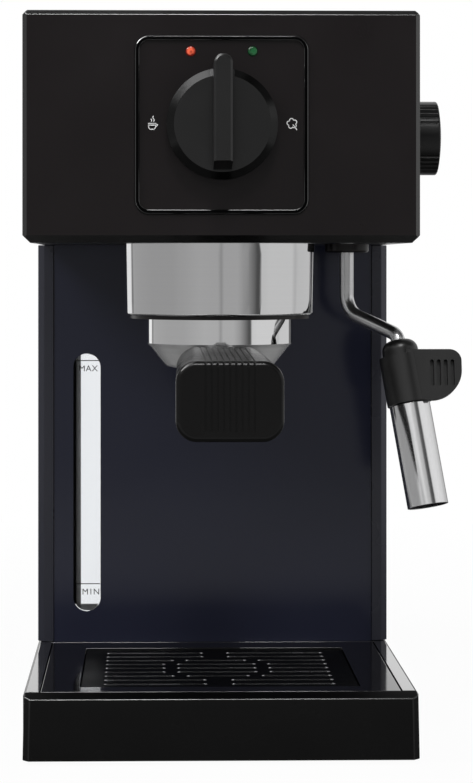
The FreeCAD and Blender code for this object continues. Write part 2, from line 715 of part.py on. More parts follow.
def head_top_cover():
    """Top cover with a rim that drops inside the housing."""
    cover = box(-HALF, HALF, FRONT, TOWER_BACK, HEAD_SEAM, HEAD_TOP)
    cover = cover.makeChamfer(TOP_CHAMFER, edges_where(cover, lambda c: near(c.z, HEAD_TOP)))
    outline = chamfered_plan(HALF, FRONT, TOWER_BACK, HEAD_CORNER, HEAD_SEAM)
    cover = cover.common(extruded(outline, V(0, 0, TOP_THICK)))
    half = HALF - WALL - FIT
    low = HEAD_SEAM - TOP_RIM_HEIGHT
    rim = box(-half, half, INSIDE_FRONT + FIT, WALL_FRONT - FIT, low, HEAD_SEAM)
    rim = rim.cut(box(TOP_RIM_THICK - half, half - TOP_RIM_THICK, INSIDE_FRONT + FIT + TOP_RIM_THICK,
                      WALL_FRONT - FIT - TOP_RIM_THICK, low - 1, HEAD_SEAM + 1))
    return cover.fuse(rim)


def control_panel():
    """Panel plate let into the head front, with a raised rounded frame."""
    crest = FRONT - FRAME_PROUD
    plate = front_slab(PANEL_WIDTH, PANEL_HEIGHT, PANEL_RADIUS, 0, PANEL_Z, crest, FRONT + PANEL_THICK)
    plate = plate.makeFillet(FRAME_ROUND, edges_where(plate, lambda c: near(c.y, crest)))
    width = PANEL_WIDTH - 2 * FRAME_WIDTH
    height = PANEL_HEIGHT - 2 * FRAME_WIDTH
    plate = plate.cut(front_slab(width, height, PANEL_RADIUS - FRAME_WIDTH, 0, PANEL_Z, crest - 1, FRONT))
    reach = FRAME_WIDTH - FRAME_ROUND
    inner = edges_where(plate, lambda c: near(c.y, crest) and abs(c.x) < (width + reach) / 2
                        and abs(c.z - PANEL_Z) < (height + reach) / 2)
    plate = plate.makeFillet(FRAME_INNER_ROUND, inner)
    plate = plate.cut(rod_y(0, PANEL_Z, FRONT - 1, FRONT + PANEL_THICK + 1, SHAFT_RADIUS + SLIDE))
    for x in (-LAMP_X, LAMP_X):
        plate = plate.cut(rod_y(x, LAMP_Z, FRONT - 1, FRONT + PANEL_THICK + 1, LAMP_RADIUS + FIT))
    return plate


def lamp(x):
    """Domed lamp lens pushed through from behind."""
    lens = rod_y(x, LAMP_Z, FRONT - LAMP_PROUD, INSIDE_FRONT + LAMP_FLANGE_THICK / 2, LAMP_RADIUS)
    lens = lens.makeFillet(LAMP_PROUD * 0.9, edges_where(lens, lambda c: near(c.y, FRONT - LAMP_PROUD)))
    return lens.fuse(rod_y(x, LAMP_Z, INSIDE_FRONT, INSIDE_FRONT + LAMP_FLANGE_THICK, LAMP_FLANGE))


def red_lamp():
    return lamp(-LAMP_X)


def green_lamp():
    return lamp(LAMP_X)


def lamp_board():
    y = INSIDE_FRONT + LAMP_FLANGE_THICK
    return box(-BOARD_WIDTH / 2, BOARD_WIDTH / 2, y, y + BOARD_THICK, LAMP_Z - BOARD_HEIGHT / 2,
               LAMP_Z + BOARD_HEIGHT / 2)


def selector_switch():
    """Rotary switch block on the back of the head's front wall."""
    half = SWITCH_SIZE / 2
    block = box(-half, half, INSIDE_FRONT, INSIDE_FRONT + SWITCH_DEPTH, PANEL_Z - half, PANEL_Z + half)
    return block.cut(rod_y(0, PANEL_Z, INSIDE_FRONT - 1, INSIDE_FRONT + SHAFT_IN_SWITCH + SLIDE,
                           SHAFT_RADIUS + RUNNING))


def selector_knob():
    """Selector knob: a skirted disc with a pointer fin."""
    back = FRONT - SLIDE
    face = back - KNOB_HEIGHT
    knob = rod_y(0, PANEL_Z, back - KNOB_SKIRT, back, KNOB_RADIUS)
    knob = knob.fuse(Part.makeCone(KNOB_FACE_RADIUS, KNOB_RADIUS, KNOB_HEIGHT - KNOB_SKIRT,
                                   V(0, face, PANEL_Z), V(0, 1, 0)))
    tip = face - FIN_HEIGHT
    outline = [(back - NOSE_GAP, PANEL_Z), (back - NOSE_GAP, PANEL_Z + FIN_UP), (tip, PANEL_Z + FIN_UP),
               (tip, PANEL_Z - FIN_DOWN), (face, PANEL_Z - FIN_DOWN_FOOT), (face, PANEL_Z)]
    fin = side_prism(outline, -FIN_WIDTH / 2, FIN_WIDTH / 2)
    length = FIN_UP + FIN_DOWN_FOOT + FIN_WIDTH
    middle = PANEL_Z + FIN_UP - length / 2
    fin = fin.common(front_slab(FIN_WIDTH, length, FIN_WIDTH / 2 - 0.001, 0, middle, tip - 1, back + 1))
    long_edges = edges_where(fin, lambda c: near(c.y, tip) and c.z > PANEL_Z - FIN_DOWN + 1)
    fin = fin.makeChamfer(FIN_EDGE, long_edges)
    knob = knob.fuse(fin)
    return knob.cut(rod_y(0, PANEL_Z, back - SHAFT_IN_KNOB, back + 1, SHAFT_RADIUS + RUNNING))


def selector_shaft():
    return rod_y(0, PANEL_Z, FRONT - SLIDE - SHAFT_IN_KNOB, INSIDE_FRONT + SHAFT_IN_SWITCH, SHAFT_RADIUS)


def group_cover():
    """Polished tapered ring around the brew group."""
    ring = spun([(COVER_LOW_RADIUS - COVER_WALL, COVER_LOW), (COVER_LOW_RADIUS, COVER_LOW),
                 (COVER_TOP_RADIUS, HEAD_LOW), (COVER_TOP_RADIUS - COVER_WALL, HEAD_LOW)], GROUP_X, GROUP_Y)
    low = [edge for edge in ring.Edges if near(edge.CenterOfMass.z, COVER_LOW)]
    outer = max(low, key=lambda edge: edge.Length)
    return ring.makeFillet(COVER_ROUND, [outer])


def group_head():
    """Group casting: top plate, skirt and two bayonet ledges."""
    inner_boss = GASKET_INNER - FIT
    head = spun([(0, SCREEN_TOP), (inner_boss, SCREEN_TOP), (inner_boss, PLATE_LOW), (SKIRT_INNER, PLATE_LOW),
                 (SKIRT_INNER, SKIRT_LOW), (GROUP_SKIRT_RADIUS, SKIRT_LOW), (GROUP_SKIRT_RADIUS, HEAD_LOW),
                 (0, HEAD_LOW)], GROUP_X, GROUP_Y)
    ring = rod_z(GROUP_X, GROUP_Y, SKIRT_LOW, SKIRT_LOW + LEDGE_HEIGHT, SKIRT_INNER + 0.5)
    ring = ring.cut(rod_z(GROUP_X, GROUP_Y, SKIRT_LOW - 1, EAR_LOW, BOWL_RADIUS + LEDGE_GAP))
    gate = EAR_WIDTH / 2 + EAR_ROOM
    across = 2 * GROUP_SKIRT_RADIUS
    entry = box(GROUP_X - across, GROUP_X + across, GROUP_Y - gate, GROUP_Y + gate, SKIRT_LOW - 1, EAR_LOW)
    entry.rotate(V(GROUP_X, GROUP_Y, 0), V(0, 0, 1), -UNLOCK_TURN)
    head = head.fuse(ring.cut(entry))
    return head.cut(rod_z(GROUP_X, GROUP_Y, SCREEN_TOP - 1, HEAD_LOW - 1, SHOWER_SCREW_RADIUS + FIT))


def group_gasket():
    ring = rod_z(GROUP_X, GROUP_Y, GASKET_LOW, PLATE_LOW, BOWL_RADIUS)
    return ring.cut(rod_z(GROUP_X, GROUP_Y, GASKET_LOW - 1, PLATE_LOW + 1, GASKET_INNER))


def hole_rings(x, y, z, height, radius, rings, pitch):
    """Pins for drilling rings of small holes around an upright axis."""
    pins = []
    for ring in range(1, rings + 1):
        count = 6 * ring
        for step in range(count):
            angle = 2 * math.pi * step / count
            px = x + (ring + 0.5) * pitch * math.cos(angle)
            py = y + (ring + 0.5) * pitch * math.sin(angle)
            pins.append(rod_z(px, py, z, z + height, radius))
    return pins


def shower_screen():
    low = SCREEN_TOP - SCREEN_THICK
    disc = rod_z(GROUP_X, GROUP_Y, low, SCREEN_TOP, GASKET_INNER - FIT)
    pins = hole_rings(GROUP_X, GROUP_Y, low - 1, SCREEN_THICK + 2, SCREEN_HOLE, 3, GASKET_INNER / 4.2)
    pins.append(rod_z(GROUP_X, GROUP_Y, low - 1, SCREEN_TOP + 1, SHOWER_SCREW_RADIUS + FIT))
    return disc.cut(pins)


def shower_screw():
    low = SCREEN_TOP - SCREEN_THICK
    head = rod_z(GROUP_X, GROUP_Y, low - SHOWER_SCREW_RADIUS, low, 2 * SHOWER_SCREW_RADIUS)
    return head.fuse(rod_z(GROUP_X, GROUP_Y, low - 1, PLATE_LOW, SHOWER_SCREW_RADIUS))


def boiler_lower():
    """Lower boiler half, with a neck through the head floor onto the group."""
    floor = HEAD_LOW + FLOOR_THICK
    flange = SEAL_LOW - BOILER_FLANGE_THICK
    shell = spun([(0, HEAD_LOW), (BOILER_NECK_RADIUS, HEAD_LOW), (BOILER_NECK_RADIUS, floor),
                  (BOILER_RADIUS, floor), (BOILER_RADIUS, flange), (BOILER_FLANGE, flange),
                  (BOILER_FLANGE, SEAL_LOW), (BOILER_INNER, SEAL_LOW), (BOILER_INNER, floor + WALL),
                  (0, floor + WALL)], GROUP_X, GROUP_Y)
    return shell.cut(bolt_rods(SEAL_LOW - 2 * BOILER_FLANGE_THICK, SEAL_LOW + 1, BOLT_RADIUS + FIT))


def bolt_rods(z0, z1, radius):
    """Four upright rods on the boiler bolt circle."""
    rods = []
    for step in range(4):
        angle = math.pi / 4 + step * math.pi / 2
        rods.append(rod_z(GROUP_X + BOLT_CIRCLE * math.cos(angle), GROUP_Y + BOLT_CIRCLE * math.sin(angle),
                          z0, z1, radius))
    return rods


def boiler_upper():
    """Upper boiler half with the water inlet, steam outlet and element holes."""
    flange = SEAL_TOP + BOILER_FLANGE_THICK
    roof = BOILER_TOP - BOILER_WALL
    shell = spun([(BOILER_INNER, SEAL_TOP), (BOILER_FLANGE, SEAL_TOP), (BOILER_FLANGE, flange),
                  (BOILER_RADIUS, flange), (BOILER_RADIUS, BOILER_TOP), (0, BOILER_TOP), (0, roof),
                  (BOILER_INNER, roof)], GROUP_X, GROUP_Y)
    tail = GROUP_Y + BOILER_RADIUS
    shell = shell.fuse(rod_y(GROUP_X, INLET_Z, tail - BOILER_WALL / 2, tail + NIPPLE_LENGTH, NIPPLE_RADIUS))
    shell = shell.cut(rod_y(GROUP_X, INLET_Z, tail - 2 * BOILER_WALL, tail + NIPPLE_LENGTH + 1, NIPPLE_BORE))
    shell = shell.cut(bolt_rods(SEAL_TOP - 1, flange + 1, BOLT_RADIUS + FIT))
    for x in (GROUP_X - ELEMENT_RING, GROUP_X + ELEMENT_RING):
        shell = shell.cut(rod_z(x, GROUP_Y, roof - 1, BOILER_TOP + 1, ELEMENT_LEGS + FIT))
    side = GROUP_X + BOILER_RADIUS
    return shell.cut(rod_x(STEAM_Y, STEAM_Z, side - 2 * BOILER_WALL, side + 1, PIPE_RADIUS + FIT))


def boiler_seal():
    ring = rod_z(GROUP_X, GROUP_Y, SEAL_LOW, SEAL_TOP, BOILER_RADIUS)
    return ring.cut(rod_z(GROUP_X, GROUP_Y, SEAL_LOW - 1, SEAL_TOP + 1, BOILER_INNER))


def boiler_bolts():
    """Bolts that clamp the boiler halves, each with its head and nut."""
    top = SEAL_TOP + BOILER_FLANGE_THICK
    low = SEAL_LOW - BOILER_FLANGE_THICK
    shanks = bolt_rods(low - BOLT_RADIUS, top + 1, BOLT_RADIUS)
    heads = bolt_rods(top, top + 1.5 * BOLT_RADIUS, BOLT_HEAD)
    nuts = bolt_rods(low - 1.5 * BOLT_RADIUS, low, BOLT_HEAD)
    return Part.makeCompound([s.fuse([h, n]) for s, h, n in zip(shanks, heads, nuts)])


def heating_element():
    """Ring element inside the boiler, with two terminals through its top."""
    z = SEAL_TOP + ELEMENT_RADIUS + 2
    ring = Part.makeTorus(ELEMENT_RING, ELEMENT_RADIUS, V(GROUP_X, GROUP_Y, z))
    legs = [rod_z(GROUP_X + side * ELEMENT_RING, GROUP_Y, z, BOILER_TOP + ELEMENT_PROUD, ELEMENT_LEGS)
            for side in (-1, 1)]
    return ring.fuse(legs)


def thermostats():
    reach = BOILER_RADIUS - THERMOSTAT_RADIUS - THERMOSTAT_INSET
    top = BOILER_TOP + THERMOSTAT_HEIGHT
    return Part.makeCompound([rod_z(GROUP_X, GROUP_Y + side * reach, BOILER_TOP, top, THERMOSTAT_RADIUS)
                              for side in (-1, 1)])


def steam_pipe():
    """Short pipe from the boiler to the steam valve."""
    x0 = GROUP_X + BOILER_INNER - BOILER_WALL
    pipe = rod_x(STEAM_Y, STEAM_Z, x0, VALVE_LEFT + 2, PIPE_RADIUS)
    return pipe.cut(rod_x(STEAM_Y, STEAM_Z, x0 - 1, VALVE_LEFT + 3, PIPE_BORE))


def steam_valve_body():
    """Steam valve block with a neck to the side wall and an outlet for the wand."""
    half = VALVE_SIZE / 2
    right = VALVE_LEFT + VALVE_LENGTH
    body = box(VALVE_LEFT, right, STEAM_Y - half, STEAM_Y + half, STEAM_Z - half, STEAM_Z + half)
    body = body.fuse(rod_x(STEAM_Y, STEAM_Z, right - 1, HALF - WALL, VALVE_NECK))
    body = body.cut(rod_x(STEAM_Y, STEAM_Z, right - SPINDLE_IN_VALVE, HALF, SPINDLE_RADIUS + RUNNING))
    body = body.cut(rod_x(STEAM_Y, STEAM_Z, VALVE_LEFT - 1, VALVE_LEFT + 2, PIPE_RADIUS + FIT))
    return body.cut(rod_z(WAND_X, STEAM_Y, VALVE_LOW - 1, HEAD_LOW + TUBE_UP + SLIDE, TUBE_RADIUS + RUNNING))


def steam_spindle():
    return rod_x(STEAM_Y, STEAM_Z, VALVE_LEFT + VALVE_LENGTH - SPINDLE_IN_VALVE + SLIDE,
                 HALF + STEAM_KNOB_GAP + STEAM_KNOB_WIDTH * 0.6, SPINDLE_RADIUS)


def steam_knob():
    """Steam knob with groups of grip grooves round its rim."""
    x0 = HALF + STEAM_KNOB_GAP
    x1 = x0 + STEAM_KNOB_WIDTH
    crown = (STEAM_KNOB_RADIUS ** 2 + STEAM_KNOB_DOME ** 2) / (2 * STEAM_KNOB_DOME)
    ball = Part.makeSphere(crown, V(x1 - crown, STEAM_Y, STEAM_Z))
    ball.rotate(V(x1 - crown, STEAM_Y, STEAM_Z), V(0, 0, 1), 180)
    rim = x1 - STEAM_KNOB_DOME
    knob = rod_x(STEAM_Y, STEAM_Z, x0, x1, STEAM_KNOB_RADIUS).common(ball)
    knob = knob.makeFillet(STEAM_KNOB_ROUND, edges_where(knob, lambda c: near(c.x, rim)))
    cutters = [rod_x(STEAM_Y, STEAM_Z, x0 - 1, x0 + STEAM_KNOB_WIDTH * 0.6, SPINDLE_RADIUS + RUNNING)]
    for group in range(GROOVE_GROUPS):
        for step in range(GROOVES_IN_GROUP):
            place = (step - (GROOVES_IN_GROUP - 1) / 2) * GROOVE_STEP
            angle = math.radians(group * 360 / GROOVE_GROUPS + GROOVE_TURN + place)
            y = STEAM_Y + (STEAM_KNOB_RADIUS + GRIP_GROOVE * 0.3) * math.sin(angle)
            z = STEAM_Z + (STEAM_KNOB_RADIUS + GRIP_GROOVE * 0.3) * math.cos(angle)
            cutters.append(rod_x(y, z, x0 + WALL, x1 + 1, GRIP_GROOVE))
    return knob.cut(cutters)


def wand_collar():
    """Collar under the head that the steam tube turns in."""
    low = HEAD_LOW - COLLAR_DROP
    collar = rod_z(WAND_X, STEAM_Y, low, HEAD_LOW, COLLAR_RADIUS)
    collar = collar.makeFillet(COLLAR_DROP * 0.3, edges_where(collar, lambda c: near(c.z, low)))
    collar = collar.fuse(rod_z(WAND_X, STEAM_Y, HEAD_LOW - 1, HEAD_LOW + 2 * FLOOR_THICK, COLLAR_NECK))
    return collar.cut(rod_z(WAND_X, STEAM_Y, HEAD_LOW - 2 * COLLAR_DROP, HEAD_LOW + 3 * FLOOR_THICK,
                            TUBE_RADIUS + RUNNING))


def wand_point(reach, z):
    swing = math.radians(SWING)
    return V(WAND_X + reach * math.cos(swing), STEAM_Y - reach * math.sin(swing), z)


def wand_at(distance):
    """Point on the straight lower wand, at a distance below the elbow."""
    tilt = math.radians(WAND_TILT)
    return wand_point(ELBOW_REACH + distance * math.sin(tilt),
                      TUBE_BEND_Z - ELBOW_FALL - distance * math.cos(tilt))


def wand_rod(d0, d1, radius):
    along = wand_at(1) - wand_at(0)
    return Part.makeCylinder(radius, d1 - d0, wand_at(d0), along)


def wand_tube():
    """Bent steel steam tube."""
    points = [wand_point(0, HEAD_LOW + TUBE_UP), wand_point(0, TUBE_BEND_Z), wand_at(0), wand_at(TUBE_END)]
    return hose(points, [UPPER_BEND, LOWER_BEND], TUBE_RADIUS, TUBE_BORE)


def wand_grip():
    """Black grip on the wand with a slotted finger tab."""
    top = GRIP_LOW - GRIP_LENGTH
    cap = wand_rod(top - CAP_HEIGHT, top + 1, CAP_RADIUS)
    tip = wand_at(top - CAP_HEIGHT)
    cap = cap.makeFillet(CAP_ROUND, edges_where(cap, lambda c: c.distanceToPoint(tip) < 0.1))
    grip = cap.fuse(wand_rod(top, GRIP_LOW, GRIP_RADIUS))
    middle = wand_at(GRIP_LOW - GRIP_LENGTH / 2 - TAB_ABOVE_MIDDLE)
    face = middle.y - TAB_FORWARD - TAB_THICK / 2
    x1 = middle.x + TAB_REACH
    z0 = middle.z - TAB_HEIGHT / 2
    z1 = middle.z + TAB_HEIGHT / 2
    tab = box(middle.x, x1, face, face + TAB_THICK, z0, z1)
    tab = tab.makeFillet(TAB_UPPER_CORNER, edges_where(tab, lambda c: near(c.x, x1) and near(c.z, z1)))
    tab = tab.makeFillet(TAB_LOWER_CORNER, edges_where(tab, lambda c: near(c.x, x1) and near(c.z, z0)))
    for slot in range(TAB_SLOTS):
        x = x1 - TAB_SLOT_END - slot * TAB_SLOT_PITCH
        tab = tab.cut(front_slab(TAB_SLOT_WIDTH, TAB_SLOT_HEIGHT, TAB_SLOT_WIDTH / 2 - 0.001, x,
                                 middle.z + TAB_SLOT_UP, face - 1, face + TAB_SLOT_DEPTH))
    along = wand_at(1) - wand_at(0)
    tab.rotate(middle, V(1, 0, 0), math.degrees(math.atan2(along.y, -along.z)))
    tab = tab.cut(wand_rod(GRIP_LOW, GRIP_LOW + TAB_HEIGHT, SLEEVE_RADIUS + SLIDE))
    grip = grip.fuse(tab)
    return grip.cut(wand_rod(top - CAP_HEIGHT - 1, GRIP_LOW + 1, TUBE_RADIUS + FIT))


def wand_nozzle():
    low = GRIP_LOW + NOZZLE_LENGTH
    nozzle = wand_rod(GRIP_LOW, low, NOZZLE_RADIUS)
    nozzle = nozzle.cut(wand_rod(GRIP_LOW - 1, TUBE_END + FIT, TUBE_RADIUS + FIT))
    return nozzle.cut(wand_rod(TUBE_END - 1, low + 1, TUBE_BORE))


def froth_sleeve():
    """Steel frothing sleeve that pulls off the nozzle."""
    top = GRIP_LOW + SLIDE
    low = top + SLEEVE_LENGTH
    sleeve = wand_rod(top, low, SLEEVE_RADIUS)
    sleeve = sleeve.cut(wand_rod(top + SLEEVE_TOP, low + 1, SLEEVE_RADIUS - SLEEVE_WALL))
    return sleeve.cut(wand_rod(top - 1, low, NOZZLE_RADIUS + REST))


def portafilter_bowl():
    """Portafilter bowl with two bayonet ears and a neck for the handle."""
    bowl = spun([(0, CONE_LOW), (BOWL_CONE_RADIUS, CONE_LOW),
                 (BOWL_RADIUS - BOWL_SHOULDER, BOWL_STEP - BOWL_SHOULDER_DROP), (BOWL_RADIUS, BOWL_STEP),
                 (BOWL_RADIUS, BOWL_TOP), (0, BOWL_TOP)], GROUP_X, GROUP_Y)
    bowl = bowl.makeFillet(BOWL_ROUND, edges_where(bowl, lambda c: near(c.z, CONE_LOW)))
    bowl = bowl.fuse(rod_z(GROUP_X, GROUP_Y, BOWL_LOW, CONE_LOW + 1, BOWL_FOOT_RADIUS))
    neck_front = GROUP_Y - NECK_REACH
    bowl = bowl.fuse(rod_y(GROUP_X, NECK_Z, neck_front, GROUP_Y - BOWL_CONE_RADIUS / 2, NECK_RADIUS))
    ears = rod_z(GROUP_X, GROUP_Y, EAR_LOW, EAR_LOW + EAR_HEIGHT, EAR_RADIUS)
    ears = ears.common(box(GROUP_X - 2 * EAR_RADIUS, GROUP_X + 2 * EAR_RADIUS, GROUP_Y - EAR_WIDTH / 2,
                           GROUP_Y + EAR_WIDTH / 2, EAR_LOW - 1, BOWL_TOP))
    bowl = bowl.fuse(ears)
    floor = BOWL_LOW + BOWL_FLOOR
    inner = BOWL_CONE_RADIUS - BOWL_WALL
    hollow = spun([(0, floor), (inner, floor), (BOWL_INNER, BOWL_STEP + BOWL_WALL / 2),
                   (BOWL_INNER, BOWL_TOP + 1), (0, BOWL_TOP + 1)], GROUP_X, GROUP_Y)
    bowl = bowl.cut(hollow)
    clip_z = BOWL_TOP - CLIP_DOWN
    half = CLIP_RADIUS + FIT
    bowl = bowl.cut(rod_z(GROUP_X, GROUP_Y, clip_z - half, clip_z + half, BOWL_INNER + 1.5 * CLIP_RADIUS))
    bowl = bowl.cut(rod_z(GROUP_X, GROUP_Y, BOWL_LOW - 1, floor + 1, DRAIN_RADIUS))
    return bowl.cut(rod_y(GROUP_X, NECK_Z, neck_front - 1, neck_front + STUD_IN_NECK, STUD_RADIUS + FIT))


def basket_clip():
    """Spring wire ring in the bowl that holds the basket."""
    middle = V(GROUP_X, GROUP_Y, BOWL_TOP - CLIP_DOWN)
    ring = Part.makeTorus(BOWL_INNER + 0.5 * CLIP_RADIUS - RUNNING, CLIP_RADIUS, middle)
    return ring.cut(box(GROUP_X - 3, GROUP_X + 3, GROUP_Y, GROUP_Y + 2 * BOWL_RADIUS, BOWL_LOW, BOWL_TOP))


def filter_basket():
    """Thin filter basket hung by its rim in the bowl."""
    outer = BOWL_INNER - REST - FIT
    inner = outer - BASKET_WALL
    low = BOWL_TOP - BASKET_DEPTH
    basket = spun([(0, low), (outer, low), (outer, BOWL_TOP), (BOWL_RADIUS - REST, BOWL_TOP),
                   (BOWL_RADIUS - REST, BASKET_TOP), (inner, BASKET_TOP), (inner, low + BASKET_WALL),
                   (0, low + BASKET_WALL)], GROUP_X, GROUP_Y)
    return basket.cut(hole_rings(GROUP_X, GROUP_Y, low - 1, BASKET_WALL + 2, SCREEN_HOLE / 2, 4, inner / 5.2))


def spout():
    """Twin spout under the bowl."""
    hub = rod_z(GROUP_X, GROUP_Y, BOWL_LOW - SPOUT_HUB_HEIGHT, BOWL_LOW, SPOUT_HUB)
    arm_top = BOWL_LOW - SPOUT_HUB_HEIGHT + 1
    arm_low = arm_top - SPOUT_ARM_DROP
    arm = upright_slab(2 * (SPOUT_SPREAD + SPOUT_TUBE), 2 * SPOUT_TUBE, SPOUT_TUBE - 0.001, GROUP_X, GROUP_Y,
                       arm_low, arm_top)
    body = hub.fuse([arm, rod_z(GROUP_X, GROUP_Y, BOWL_LOW - 1, BOWL_LOW + BOWL_FLOOR, DRAIN_RADIUS - FIT)])
    for side in (-1, 1):
        x = GROUP_X + side * SPOUT_SPREAD
        body = body.fuse(rod_z(x, GROUP_Y, arm_low - SPOUT_DROP, arm_low + 1, SPOUT_TUBE))
        body = body.cut(rod_z(x, GROUP_Y, arm_low - SPOUT_DROP - 1, arm_top - 2, SPOUT_BORE))
    run = arm_low + SPOUT_ARM_DROP / 2
    body = body.cut(rod_x(GROUP_Y, run, GROUP_X - SPOUT_SPREAD, GROUP_X + SPOUT_SPREAD, SPOUT_BORE * 0.8))
    return body.cut(rod_z(GROUP_X, GROUP_Y, run, BOWL_LOW + BOWL_FLOOR + 1, SPOUT_BORE))


def portafilter_handle():
    """Chunky handle with lengthwise ribs on its top and end."""
    y_back = GROUP_Y - HANDLE_START
    y_end = GROUP_Y - HANDLE_END
    back = rounded_outline(HANDLE_BACK_WIDTH, HANDLE_BACK_HEIGHT, HANDLE_BACK_CORNER)
    end = rounded_outline(HANDLE_WIDTH, HANDLE_HEIGHT, HANDLE_CORNER)
    handle = Part.makeLoft([facing(back, GROUP_X, y_back, HANDLE_BACK_TOP - HANDLE_BACK_HEIGHT / 2),
                            facing(end, GROUP_X, y_end, HANDLE_TOP - HANDLE_HEIGHT / 2)], True, True)
    handle = handle.makeFillet(HANDLE_EDGE, edges_where(handle, lambda c: near(c.y, y_end)))
    neck_front = GROUP_Y - NECK_REACH
    stud_end = neck_front + STUD_IN_NECK - STUD_LENGTH
    cutters = [rod_y(GROUP_X, NECK_Z, neck_front - FIT, y_back + 1, NECK_RADIUS + FIT),
               rod_y(GROUP_X, NECK_Z, stud_end - FIT, y_back, STUD_RADIUS + FIT)]
    stop = HANDLE_TOP - HANDLE_HEIGHT + RIB_STOP
    groove = [(y_back + 1, HANDLE_BACK_TOP - RIB_DEPTH), (y_back + 1, HANDLE_BACK_TOP + RIB_STOP),
              (y_end - 1, HANDLE_TOP + RIB_STOP), (y_end - 1, stop), (y_end + RIB_DEPTH, stop),
              (y_end + RIB_DEPTH, HANDLE_TOP - HANDLE_EDGE),
              (y_end + HANDLE_EDGE, HANDLE_TOP - RIB_DEPTH)]
    for rib in range(-RIB_COUNT, RIB_COUNT + 1):
        x = GROUP_X + rib * RIB_PITCH
        cutters.append(side_prism(groove, x - RIB_WIDTH / 2, x + RIB_WIDTH / 2))
    return handle.cut(cutters)


def handle_stud():
    end = GROUP_Y - NECK_REACH + STUD_IN_NECK
    return rod_y(GROUP_X, NECK_Z, end - STUD_LENGTH, end, STUD_RADIUS)


def water_tank():
    """Clear lift-off tank behind the tower, with ears for the lid pin."""
    depth = TANK_BACK - TANK_FRONT
    middle = (TANK_BACK + TANK_FRONT) / 2
    tank = upright_slab(TANK_WIDTH, depth, TANK_CORNER, 0, middle, TANK_LOW, TANK_TOP)
    tank = tank.cut(upright_slab(TANK_WIDTH - 2 * TANK_WALL, depth - 2 * TANK_WALL, TANK_CORNER - TANK_WALL,
                                 0, middle, TANK_LOW + TANK_FLOOR, TANK_TOP + 1))
    for side in (-1, 1):
        x0 = side * LID_EAR_X - LID_EAR_WIDTH / 2
        x1 = x0 + LID_EAR_WIDTH
        ear = box(x0, x1, TANK_FRONT + TANK_WALL / 2, LID_PIN_Y + LID_BARREL, TANK_TOP - LID_EAR_FOOT,
                  LID_PIN_Z)
        ear = ear.fuse(rod_x(LID_PIN_Y, LID_PIN_Z, x0, x1, LID_BARREL))
        tank = tank.fuse(ear.cut(rod_x(LID_PIN_Y, LID_PIN_Z, x0 - 1, x1 + 1, LID_PIN_RADIUS + RUNNING)))
    return tank.cut(rod_z(PUMP_X, SOCKET_Y, TANK_LOW - 1, TANK_LOW + TANK_FLOOR + 1, VALVE_BARREL + FIT))


def tank_lid():
    """Flat lid that turns on a pin along its front edge."""
    middle = (TANK_BACK + TANK_FRONT) / 2
    top = LID_LOW + LID_THICK
    lid = upright_slab(TANK_WIDTH, TANK_BACK - TANK_FRONT, TANK_CORNER, 0, middle, LID_LOW, top)
    lid = lid.cut(box(-HALF, HALF, TANK_FRONT - 1, LID_PIN_Y, LID_LOW - 1, top + 1))
    reach = TANK_HALF - TANK_CORNER / 3
    lid = lid.fuse(rod_x(LID_PIN_Y, LID_PIN_Z, -reach, reach, LID_BARREL))
    room = LID_EAR_WIDTH / 2 + LID_EAR_ROOM
    for x in (-LID_EAR_X, LID_EAR_X):
        lid = lid.cut(box(x - room, x + room, TANK_FRONT - 1, LID_PIN_Y + 2 * LID_BARREL, LID_LOW - 1,
                          LID_PIN_Z + 2 * LID_BARREL))
    pin_half = LID_EAR_X + LID_EAR_WIDTH
    return lid.cut(rod_x(LID_PIN_Y, LID_PIN_Z, -pin_half - 1, pin_half + 1, LID_PIN_RADIUS + RUNNING))


def lid_pin():
    half = LID_EAR_X + LID_EAR_WIDTH
    return rod_x(LID_PIN_Y, LID_PIN_Z, -half, half, LID_PIN_RADIUS)


def tank_valve():
    """Outlet valve in the tank floor that dips into the socket."""
    floor = TANK_LOW + TANK_FLOOR
    top = floor + VALVE_COLLAR_HEIGHT
    valve = rod_z(PUMP_X, SOCKET_Y, floor, top, VALVE_COLLAR)
    valve = valve.fuse(rod_z(PUMP_X, SOCKET_Y, SHELF - VALVE_DIP, floor + 1, VALVE_BARREL))
    return valve.cut(rod_z(PUMP_X, SOCKET_Y, SHELF - VALVE_DIP - 1, top + 1, VALVE_BORE))


def tank_socket():
    """Socket in the shelf that takes the tank valve and feeds the suction hose."""
    body = rod_z(PUMP_X, SOCKET_Y, SHELF - WALL - SOCKET_BODY, SHELF, SOCKET_RADIUS - FIT)
    body = body.fuse(rod_z(PUMP_X, SOCKET_Y, SHELF - WALL - SOCKET_FLANGE_THICK, SHELF - WALL, SOCKET_FLANGE))
    tip = SOCKET_Y - SOCKET_FLANGE - NIPPLE_LENGTH
    body = body.fuse(rod_y(PUMP_X, HOSE_Z, tip, SOCKET_Y - SOCKET_BORE - 1, NIPPLE_RADIUS))
    body = body.cut(rod_z(PUMP_X, SOCKET_Y, SHELF - WALL - SOCKET_BODY + 1, SHELF + 1, SOCKET_BORE))
    return body.cut(rod_y(PUMP_X, HOSE_Z, tip - 1, SOCKET_Y, NIPPLE_BORE))


def suction_hose():
    """Hose from the tank socket under the shelf and up to the pump."""
    points = [V(PUMP_X, SOCKET_Y - SOCKET_FLANGE - FIT, HOSE_Z), V(PUMP_X, PUMP_Y, HOSE_Z),
              V(PUMP_X, PUMP_Y, BARREL_LOW - FIT)]
    return hose(points, [HOSE_BEND], HOSE_RADIUS, HOSE_BORE)


def pressure_hose():
    """Hose from the pump up into the head and forward to the boiler."""
    points = [V(PUMP_X, PUMP_Y, BARREL_TOP + FIT), V(PUMP_X, PUMP_Y, INLET_Z),
              V(PUMP_X, GROUP_Y + BOILER_RADIUS + SLIDE, INLET_Z)]
    return hose(points, [HOSE_BEND], HOSE_RADIUS, HOSE_BORE)


